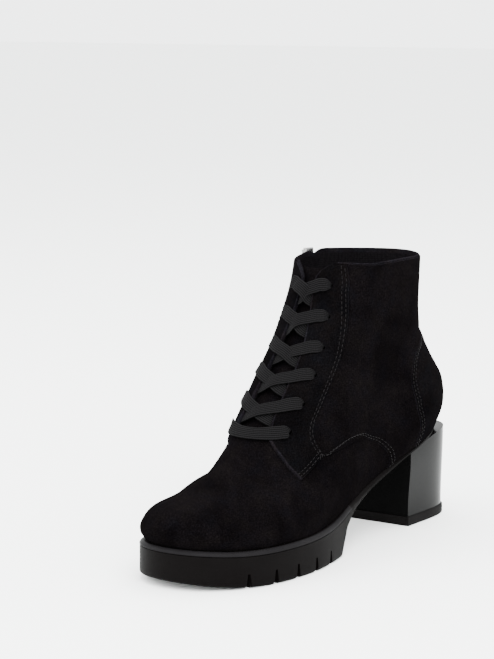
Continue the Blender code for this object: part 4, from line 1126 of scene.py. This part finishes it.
def sole_ring(us, offset_of, z_of):
    """A ring round the feather line, moved outwards by its offset and set to a height."""
    points = last(us, 0.0)
    tangent = last(us + STEP_ALONG, 0.0) - last(us - STEP_ALONG, 0.0)
    out = unit(np.stack([-tangent[:, 1], tangent[:, 0], np.zeros(len(us))], axis=1))
    x = points[:, 0] / MM + HEEL_CURVE
    moved = points + out * (offset_of(x) * MM)[:, None]
    moved[:, 2] = z_of(moved[:, 0] / MM + HEEL_CURVE) * MM
    return moved


def sole_columns():
    """Columns round the sole, evenly spaced along it and close where its side bends."""
    fine = np.linspace(0, 1, 2001)
    xs = last(fine, 0.0)
    weight = np.linalg.norm(np.diff(xs, axis=0), axis=1) / MM
    middle_x = (xs[:-1, 0] + xs[1:, 0]) / 2 / MM + HEEL_CURVE
    weight *= 1 + 3 * ((middle_x > PLATFORM_BACK[0]) & (middle_x < PLATFORM_BACK[1]))
    run = np.concatenate([[0], np.cumsum(weight)])
    return np.interp(np.linspace(0, run[-1], SOLE_COLUMNS + 1)[:-1], run, fine)


def tube_of_rings(rings):
    """Points of stacked rings and the faces between them, open at both ends."""
    count = len(rings[0])
    faces = []
    for i in range(len(rings) - 1):
        for j in range(count):
            k = (j + 1) % count
            faces.append((i * count + j, i * count + k, (i + 1) * count + k, (i + 1) * count + j))
    return np.concatenate(rings), faces


def closed_across(rings):
    """Faces that close the first and the last ring in strips across the boot."""
    count = len(rings[0])
    faces = []
    for first in (0, (len(rings) - 1) * count):
        for i in range(count // 2):
            loop = (i, i + 1, (count - i - 1) % count, (count - i) % count)
            face = tuple(dict.fromkeys(first + k for k in loop))
            if len(face) > 2:
                faces.append(face)
    return faces


def slot_tool(x, half_foot, half_head, top, y_from, y_to):
    """A tapered wedge that cuts one slot across the sole's edge."""
    profile = [(-half_foot, -2.0), (half_foot, -2.0), (half_head, top), (-half_head, top)]
    points = [
        ((x + dx - HEEL_CURVE) * MM, y * MM, z * MM) for y in (y_from, y_to) for dx, z in profile
    ]
    faces = [(0, 1, 2, 3), (7, 6, 5, 4), (0, 4, 5, 1), (1, 5, 6, 2), (2, 6, 7, 3), (3, 7, 4, 0)]
    mesh = bpy.data.meshes.new("slot")
    mesh.from_pydata(points, [], faces)
    work = bmesh.new()
    work.from_mesh(mesh)
    bmesh.ops.recalc_face_normals(work, faces=work.faces)
    work.to_mesh(mesh)
    work.free()
    tool = bpy.data.objects.new("slot", mesh)
    bpy.context.scene.collection.objects.link(tool)
    return tool


def build_outsole():
    """The moulding as rings from the tread up to the bed under the upper."""
    us = sole_columns()

    def ring(inset, height_of):
        return sole_ring(us, lambda x: np.interp(x, *np.array(SOLE_LIP).T) - inset, height_of)

    def thick(x):
        return sole_top(x) - sole_bottom(x)

    rings = [
        ring(inset, lambda x: sole_bottom(x) + np.minimum(height, 0.25 * thick(x)))
        for inset, height in LOWER_RINGS
    ]
    rings += [
        ring(inset, lambda x: sole_top(x) - np.minimum(depth, 0.4 * thick(x)))
        for inset, depth in UPPER_RINGS
    ]
    points, faces = tube_of_rings(rings)
    on_platform = points[:, 0] / MM + HEEL_CURVE > LIP_START
    # Lip faces on the platform take the lighter lip finish, a painted highlight.
    slots = [int(face[0] // len(us) in range(*LIP_RINGS) and on_platform[face[0]]) for face in faces]
    ends = closed_across(rings)
    faces += ends
    slots += [0] * len(ends)
    made = piece("outsole_rubber", points, faces, [RUBBER, RUBBER_LIP_HIGHLIGHT], slots, sharp=40)
    for number in range(LUG_SLOTS):
        x = FIRST_SLOT + number * SLOT_PITCH
        for sides in SLOT_SIDES:
            cut_away(made, slot_tool(x, SLOT_FOOT_HALF, SLOT_HEAD_HALF, SLOT_TOP, *sides))
        cut_away(made, slot_tool(x, CHANNEL_HALF, CHANNEL_HALF, CHANNEL_TOP, *CHANNEL_SIDES))
    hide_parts("outsole")


build_outsole()


# The sock: a thin cushion of foam covered in smooth leather, glued on the sole inside the
# upper. It shows only from above, and its edge is rounded where the upper's wall meets it.
SOCK_COLUMNS = 180
# Rings from its underside to its middle: inset from the feather line, height above it
SOCK_RINGS = ((2.9, 0.0), (2.8, 1.6), (3.1, 2.5), (4.2, 3.0), (10.0, 3.05), (16.0, 3.0))


def sock_leather():
    """Corrected grain leather: smooth and nearly matt, with fine pores."""
    finish, tree, shader = new_finish("sock_leather_black")
    where = add_node(tree, "TexCoord", {}, {}).outputs["Object"]
    # Leather pores 0.8 mm apart
    pores = add_node(tree, "TexVoronoi", {}, {"Vector": where, "Scale": 1250.0}).outputs["Distance"]
    shade = add_node(
        tree, "ValToRGB", {}, {"Fac": pores}, [(0.0, "#0d0c0b"), (0.5, "#11100f")]
    ).outputs["Color"]
    bump = add_node(tree, "Bump", {}, {"Height": pores, "Distance": 0.0001, "Strength": 0.4})
    tree.links.new(shade, shader.inputs["Base Color"])
    tree.links.new(bump.outputs[0], shader.inputs["Normal"])
    shader.inputs["Roughness"].default_value = 0.6
    return finish


def build_insole():
    """A cushioned sheet with a rounded edge."""
    us = np.linspace(0, 1, SOCK_COLUMNS + 1)[:-1]
    rings = [
        sole_ring(us, lambda x: -inset + 0 * x, lambda x: feather_height(x) + lift)
        for inset, lift in SOCK_RINGS
    ]
    points, faces = tube_of_rings(rings)
    made = piece("insole_sock", points, faces + closed_across(rings), [sock_leather()])
    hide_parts("insole")


build_insole()


# The heel: a moulded block in black lacquer, glossy on its outside and matt on the flat
# breast, held by screws that go down through the seat; the breast is painted darker than the
# lacquer, as shade under the arch. Under it is a rubber top piece.
HEEL_BREAST = 45.0
HEEL_BACK = -8.5
HEEL_HALF_WIDTH = 28.0
HEEL_SKEW = 0.09          # the breast runs back by this share of its way to the outer side
HEEL_SQUARENESS = 4.5     # power of the outline; two would make it round
HEEL_COLUMNS = 40
HEEL_RINGS = 22
HEEL_GAP = 0.3            # the block keeps clear of the seat above and the top piece below
SEAT_BREAST = 48.5
SEAT_BACK = -5.5
SEAT_HALF_WIDTH = 31.5
TOP_PIECE_HEIGHT = 5.7
TOP_PIECE_LEDGE = 0.9
# Its rings from the floor up: height, and how far they stay inside the ledge
TOP_PIECE_RINGS = (
    (0.0, 0.7), (0.15, 0.3), (0.7, 0.0), (TOP_PIECE_HEIGHT - 0.4, 0.0), (TOP_PIECE_HEIGHT, 0.35),
)
HEEL_SHARP = 50           # degrees; edges sharper than this are rounded
SOFT_EDGE = 0.35


def heel_lacquer():
    """Two coats of black gloss lacquer, so smooth that it mirrors the room."""
    finish, tree, shader = new_finish("gloss_lacquer_black")
    where = add_node(tree, "TexCoord", {}, {}).outputs["Object"]
    # Slow waves in the lacquer, about 11 mm across
    swirl = add_node(tree, "TexNoise", {}, {"Vector": where, "Scale": 90.0, "Detail": 2.0}).outputs["Fac"]
    shade = add_node(
        tree, "ValToRGB", {}, {"Fac": swirl}, [(0.3, "#060606"), (0.7, "#080808")]
    ).outputs["Color"]
    wave = add_node(tree, "Bump", {}, {"Height": swirl, "Distance": 0.0001, "Strength": 0.15})
    tree.links.new(shade, shader.inputs["Base Color"])
    tree.links.new(wave.outputs[0], shader.inputs["Normal"])
    shader.inputs["Roughness"].default_value = 0.16
    shader.inputs["IOR"].default_value = 1.5
    shader.inputs["Specular IOR Level"].default_value = 0.034
    return finish


LACQUER = heel_lacquer()
# The breast's base colour is darker than the lacquer's: painted shade under the arch. Its matt roughness is
# its own finish.
BREAST_SHADED = moulded_rubber("matt_lacquer_black_painted_shade", "#020202", "#030303", 0.6)
TOP_PIECE = moulded_rubber("top_piece_rubber_black", "#080707", "#0b0a0a", 0.6)


def heel_ring(breast, back, half_width, z_of, grow=0.0):
    """A ring with a flat breast in front and squared, rounded sides behind."""
    length = breast - back
    turn = np.pi / 2 * np.linspace(0, 1, HEEL_COLUMNS + 1)
    x = breast - length * np.sin(turn) ** (2 / HEEL_SQUARENESS)
    y = half_width * np.cos(turn) ** (2 / HEEL_SQUARENESS)
    x = np.concatenate([x[::-1], x[:-1]])
    y = np.concatenate([y[::-1], -y[:-1]])
    slant = HEEL_SKEW * y * (x - back) / length
    scale = 1 + grow / half_width
    middle = (breast + back) / 2
    px = middle + (x - middle) * scale - slant
    return np.stack([(px - HEEL_CURVE) * MM, y * scale * MM, z_of(px) * MM], axis=1)


def heel_block(name, rings, finishes):
    """A solid through the rings; the flat breast takes the second finish."""
    points, faces = tube_of_rings(rings)
    count = len(rings[0])
    for first in (0, (len(rings) - 1) * count):
        faces.append((first, first + 1, first + count - 1))
        for i in range(1, count // 2):
            faces.append((first + i, first + i + 1, first + count - i - 1, first + count - i))
    breast = {count // 2, count // 2 + 1}
    slots = [int({point % count for point in face} == breast) for face in faces]
    made = piece(name, points, faces, finishes, slots, HEEL_SHARP)
    bevel = made.modifiers.new("soft_edge", "BEVEL")
    bevel.width = SOFT_EDGE * MM
    bevel.segments = 3
    bevel.angle_limit = math.radians(HEEL_SHARP)
    return made


block = []
low = TOP_PIECE_HEIGHT + HEEL_GAP
for share in np.linspace(0, 1, HEEL_RINGS):
    ease = smooth(share, 0, 1)
    block.append(heel_ring(
        HEEL_BREAST + (SEAT_BREAST - HEEL_BREAST) * share,
        HEEL_BACK + (SEAT_BACK - HEEL_BACK) * ease,
        HEEL_HALF_WIDTH + (SEAT_HALF_WIDTH - HEEL_HALF_WIDTH) * ease,
        lambda x: low + (sole_bottom(x) - HEEL_GAP - low) * share,
    ))
made = heel_block("heel_block_lacquered", block, [LACQUER, BREAST_SHADED])
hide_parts("heel")
size = (HEEL_BREAST, HEEL_BACK, HEEL_HALF_WIDTH)
tip = [
    heel_ring(*size, lambda x: height + 0 * x, TOP_PIECE_LEDGE - inset)
    for height, inset in TOP_PIECE_RINGS
]
made = heel_block("top_piece", tip, [TOP_PIECE, TOP_PIECE])
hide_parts("heel_tip")


# The zip on the inner side: woven polyester tape with moulded bright teeth, a die cast
# slider closed at the collar, and a hanging pull tab that swings on the slider's bridge.
ZIP_TOP_X = 54.0          # from the heel curve
ZIP_FOOT_X = 61.0
ZIP_FOOT = 0.16           # levels on the last
ZIP_HEAD = 0.992
ZIP_ROWS, ZIP_COLUMNS = 120, 16
ZIP_STEP = 0.004          # a small step of u that shows how fast the last runs by
ZIP_TAPE_HALF = 4.6
TAPE_LEVELS = (0.3, 1.05)          # its two faces, above the last
TAPE_CROWN = 0.25         # and how much higher it stands under the teeth
TEETH_HEAD = 0.95         # the slider covers the teeth above this level
TEETH_LEVEL = 1.3
TOOTH_PITCH = 1.3
TOOTH_HALF = np.array([1.05, 0.36, 0.42])      # across the zip, along it, and out
TOOTH_OFFSET = 0.85
TOOTH_TAPER = 0.35
ZIP_SEAM = 7.0            # sewn rows, this far from the middle


def bright_metal():
    """Die cast zinc with a bright nickel plating, painted darker as a stand-in for dark reflections."""
    finish, tree, shader = new_finish("nickel_plated_zinc")
    where = add_node(tree, "TexCoord", {}, {}).outputs["Object"]
    # Rub marks about 1 mm across
    rub = add_node(tree, "TexNoise", {}, {"Vector": where, "Scale": 900.0, "Detail": 3.0}).outputs["Fac"]
    # Both greys are darker than bright nickel, as painted dark reflections.
    shade = add_node(
        tree, "ValToRGB", {}, {"Fac": rub}, [(0.3, "#5c5b5b"), (0.7, "#9b9a99")]
    ).outputs["Color"]
    bump = add_node(tree, "Bump", {}, {"Height": rub, "Distance": 0.00005, "Strength": 0.3})
    tree.links.new(shade, shader.inputs["Base Color"])
    tree.links.new(bump.outputs[0], shader.inputs["Normal"])
    shader.inputs["Metallic"].default_value = 1.0
    shader.inputs["Roughness"].default_value = 0.2
    return finish


def woven_tape():
    """Woven polyester tape: matt black, with fine rows of weft across it."""
    finish, tree, shader = new_finish("woven_zip_tape_black")
    where = add_node(tree, "TexCoord", {}, {}).outputs["Object"]
    # Weft threads are 0.4 mm apart; they are drawn 0.75 mm apart so that they show
    rows = add_node(
        tree, "TexWave", {"bands_direction": "Z"},
        {"Vector": where, "Scale": 420.0, "Distortion": 0.4},
    ).outputs["Fac"]
    shade = add_node(
        tree, "ValToRGB", {}, {"Fac": rows}, [(0.1, "#060506"), (0.9, "#0c0b0c")]
    ).outputs["Color"]
    bump = add_node(tree, "Bump", {}, {"Height": rows, "Distance": 0.0002, "Strength": 0.5})
    tree.links.new(shade, shader.inputs["Base Color"])
    tree.links.new(bump.outputs[0], shader.inputs["Normal"])
    shader.inputs["Roughness"].default_value = 0.85
    return finish


NICKEL, TAPE = bright_metal(), woven_tape()


def zip_line(vs):
    """u of the zip's middle at these levels, on the inner side."""
    share = (vs - ZIP_FOOT) / (ZIP_HEAD - ZIP_FOOT)
    aim = (ZIP_FOOT_X + (ZIP_TOP_X - ZIP_FOOT_X) * share - HEEL_CURVE) * MM
    ahead, behind = np.full(len(vs), RIDGE), np.full(len(vs), 1.0)
    for _ in range(30):
        middle = (ahead + behind) / 2
        forward = last(middle, vs)[:, 0] > aim
        ahead, behind = np.where(forward, middle, ahead), np.where(forward, behind, middle)
    return (ahead + behind) / 2


def zip_tape(vs, us, speed):
    """The tape as one strip, a little crowned under the teeth."""
    share = np.linspace(-1, 1, ZIP_COLUMNS + 1)
    grid_u = us[:, None] + (ZIP_TAPE_HALF * MM / speed)[:, None] * share[None, :]
    grid_v = np.broadcast_to(vs[:, None], grid_u.shape)
    under, over = TAPE_LEVELS
    crown = over + TAPE_CROWN * np.exp(-((share / 0.3) ** 2))[None, :] * np.ones((len(vs), 1))
    top, _ = skin(grid_u, grid_v, crown)
    low, _ = skin(grid_u, grid_v, under)
    points, faces, _ = wall(top, low, np.ones((len(vs) - 1, len(share) - 1), bool), False)
    tape = piece("zip_tape_woven", points, faces, [TAPE])
    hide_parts("zip_tape")


def zip_teeth():
    """Two rows of tapered teeth that mesh along the zip's middle."""
    fine = np.linspace(ZIP_FOOT + 0.012, TEETH_HEAD, 900)
    places, normals = skin(zip_line(fine), fine, TEETH_LEVEL)
    run = running_length(places)
    corners = np.array([(x, y, z) for x in (-1, 1) for y in (-1, 1) for z in (-1, 1)], float)
    quads = [(0, 1, 3, 2), (4, 6, 7, 5), (0, 4, 5, 1), (2, 3, 7, 6), (0, 2, 6, 4), (1, 5, 7, 3)]
    taper = 1 - TOOTH_TAPER * (corners[:, 2:3] > 0)
    across, along, out = (corners[:, k : k + 1] * TOOTH_HALF[k] for k in range(3))
    points, faces = [], []
    for centre in np.arange(0.6, run[-1], TOOTH_PITCH):
        p, t, n = along_line(centre, 0.5, run, places, normals)
        b = np.cross(t, n)
        for side in (-1, 1):
            faces += [tuple(len(points) * len(corners) + corner for corner in quad) for quad in quads]
            points.append(
                p + b * ((side * TOOTH_OFFSET + across * taper) * MM)
                + t * ((along * taper + side * TOOTH_PITCH / 4) * MM)
                + n * (out * MM)
            )
    teeth = piece("zip_teeth", np.concatenate(points), faces, [NICKEL], sharp=30)


def build_zip():
    """Tape, teeth, and a sewn row on each side that holds the tape."""
    vs = np.linspace(ZIP_FOOT, ZIP_HEAD, ZIP_ROWS)
    us = zip_line(vs)
    reach = last(us + ZIP_STEP, vs) - last(us - ZIP_STEP, vs)
    speed = np.linalg.norm(reach, axis=1) / (2 * ZIP_STEP)
    zip_tape(vs, us, speed)
    zip_teeth()
    row_v = np.linspace(ZIP_FOOT - 0.01, ZIP_HEAD, 60)
    for name, offset in (("front", -ZIP_SEAM), ("back", ZIP_SEAM)):
        row_u = zip_line(row_v) + offset * MM / np.interp(row_v, vs, speed)
        stitches(f"zip_stitching_{name}", [np.stack([row_u, row_v], axis=1)], QUARTER_RISE - 0.1)


build_zip()
# The slider and its tab are die cast as the solids are, so those meshes are plated
for name, body in (("zip_slider", "boot"), ("zip_pull", "zip_pull")):
    mesh = solids[name].data.copy()
    mesh.materials.clear()
    mesh.materials.append(NICKEL)
    cast = bpy.data.objects.new(name + "_nickel", mesh)
    cast.matrix_world = solids[name].matrix_world
    bpy.context.scene.collection.objects.link(cast)
    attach(cast, body)
    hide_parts(name)


# The set: a plain pale floor that runs into the distance, and soft studio light from large
# panels. The camera stands where the photograph was taken from.
FLOOR_REACH = 12.0
FLOOR_DROP = 0.0001       # the floor lies this far, in metres, under the soles
SKY_STRENGTH = 4.6
# Light panels: name, place and aim in metres, width in metres, power in watts
PANELS = (
    ("key_panel", (0.9, 1.2, 1.5), (0.1, 0.0, 0.08), 1.4, 75.0),
    ("fill_panel", (1.3, -1.0, 1.0), (0.1, 0.0, 0.08), 1.4, 40.0),
    ("top_panel", (-0.2, 0.1, 1.9), (0.1, 0.0, 0.0), 1.6, 55.0),
)
SENSOR = 36.0             # millimetres for the picture's long side
PICTURE_HEIGHT = 659.0    # the photograph's long side and the lens, both in pixels
LENS_PIXELS = 2055.0
CAMERA_PLACE = (1.0566, 0.6963, 0.3159)
CAMERA_BACK = (0.78363, 0.60130, 0.15608)      # from the boot towards the camera


def studio_paper():
    """Matt white background paper, which gives an even, pale ground."""
    finish, _, shader = new_finish("studio_floor_paper")
    shader.inputs["Base Color"].default_value = srgb("#f2f3f2")
    shader.inputs["Roughness"].default_value = 0.9
    shader.inputs["Specular IOR Level"].default_value = 0.1
    return finish


def build_floor():
    """One wide sheet just under the soles."""
    mesh = bpy.data.meshes.new("floor")
    corners = [(x * FLOOR_REACH, y * FLOOR_REACH, 0) for x, y in ((-1, -1), (1, -1), (1, 1), (-1, 1))]
    mesh.from_pydata(corners, [], [(0, 1, 2, 3)])
    mesh.materials.append(studio_paper())
    floor = bpy.data.objects.new("floor", mesh)
    floor.location.z = -FLOOR_DROP
    bpy.context.scene.collection.objects.link(floor)


def build_lights():
    """A bright even sky and three large panels."""
    world = bpy.data.worlds.new("studio")
    world.use_nodes = True
    sky = world.node_tree.nodes["Background"]
    sky.inputs["Color"].default_value = srgb("#f4f6f6")
    sky.inputs["Strength"].default_value = SKY_STRENGTH
    bpy.context.scene.world = world
    for name, place, aim, width, power in PANELS:
        light = bpy.data.lights.new(name, "AREA")
        light.size = width
        light.energy = power
        lamp = bpy.data.objects.new(name, light)
        lamp.location = place
        lamp.rotation_euler = (Vector(aim) - Vector(place)).to_track_quat("-Z", "Y").to_euler()
        bpy.context.scene.collection.objects.link(lamp)


def build_camera():
    """The camera, placed and aimed as for the photograph."""
    camera = bpy.data.cameras.new("camera")
    camera.sensor_fit = "AUTO"
    camera.sensor_width = SENSOR
    camera.lens = LENS_PIXELS * SENSOR / PICTURE_HEIGHT
    camera.clip_start = 0.01
    camera.clip_end = 60.0
    viewer = bpy.data.objects.new("camera", camera)
    viewer.location = CAMERA_PLACE
    viewer.rotation_euler = Vector(CAMERA_BACK).to_track_quat("Z", "Y").to_euler()
    bpy.context.scene.collection.objects.link(viewer)
    bpy.context.scene.camera = viewer


build_floor()
build_lights()
build_camera()
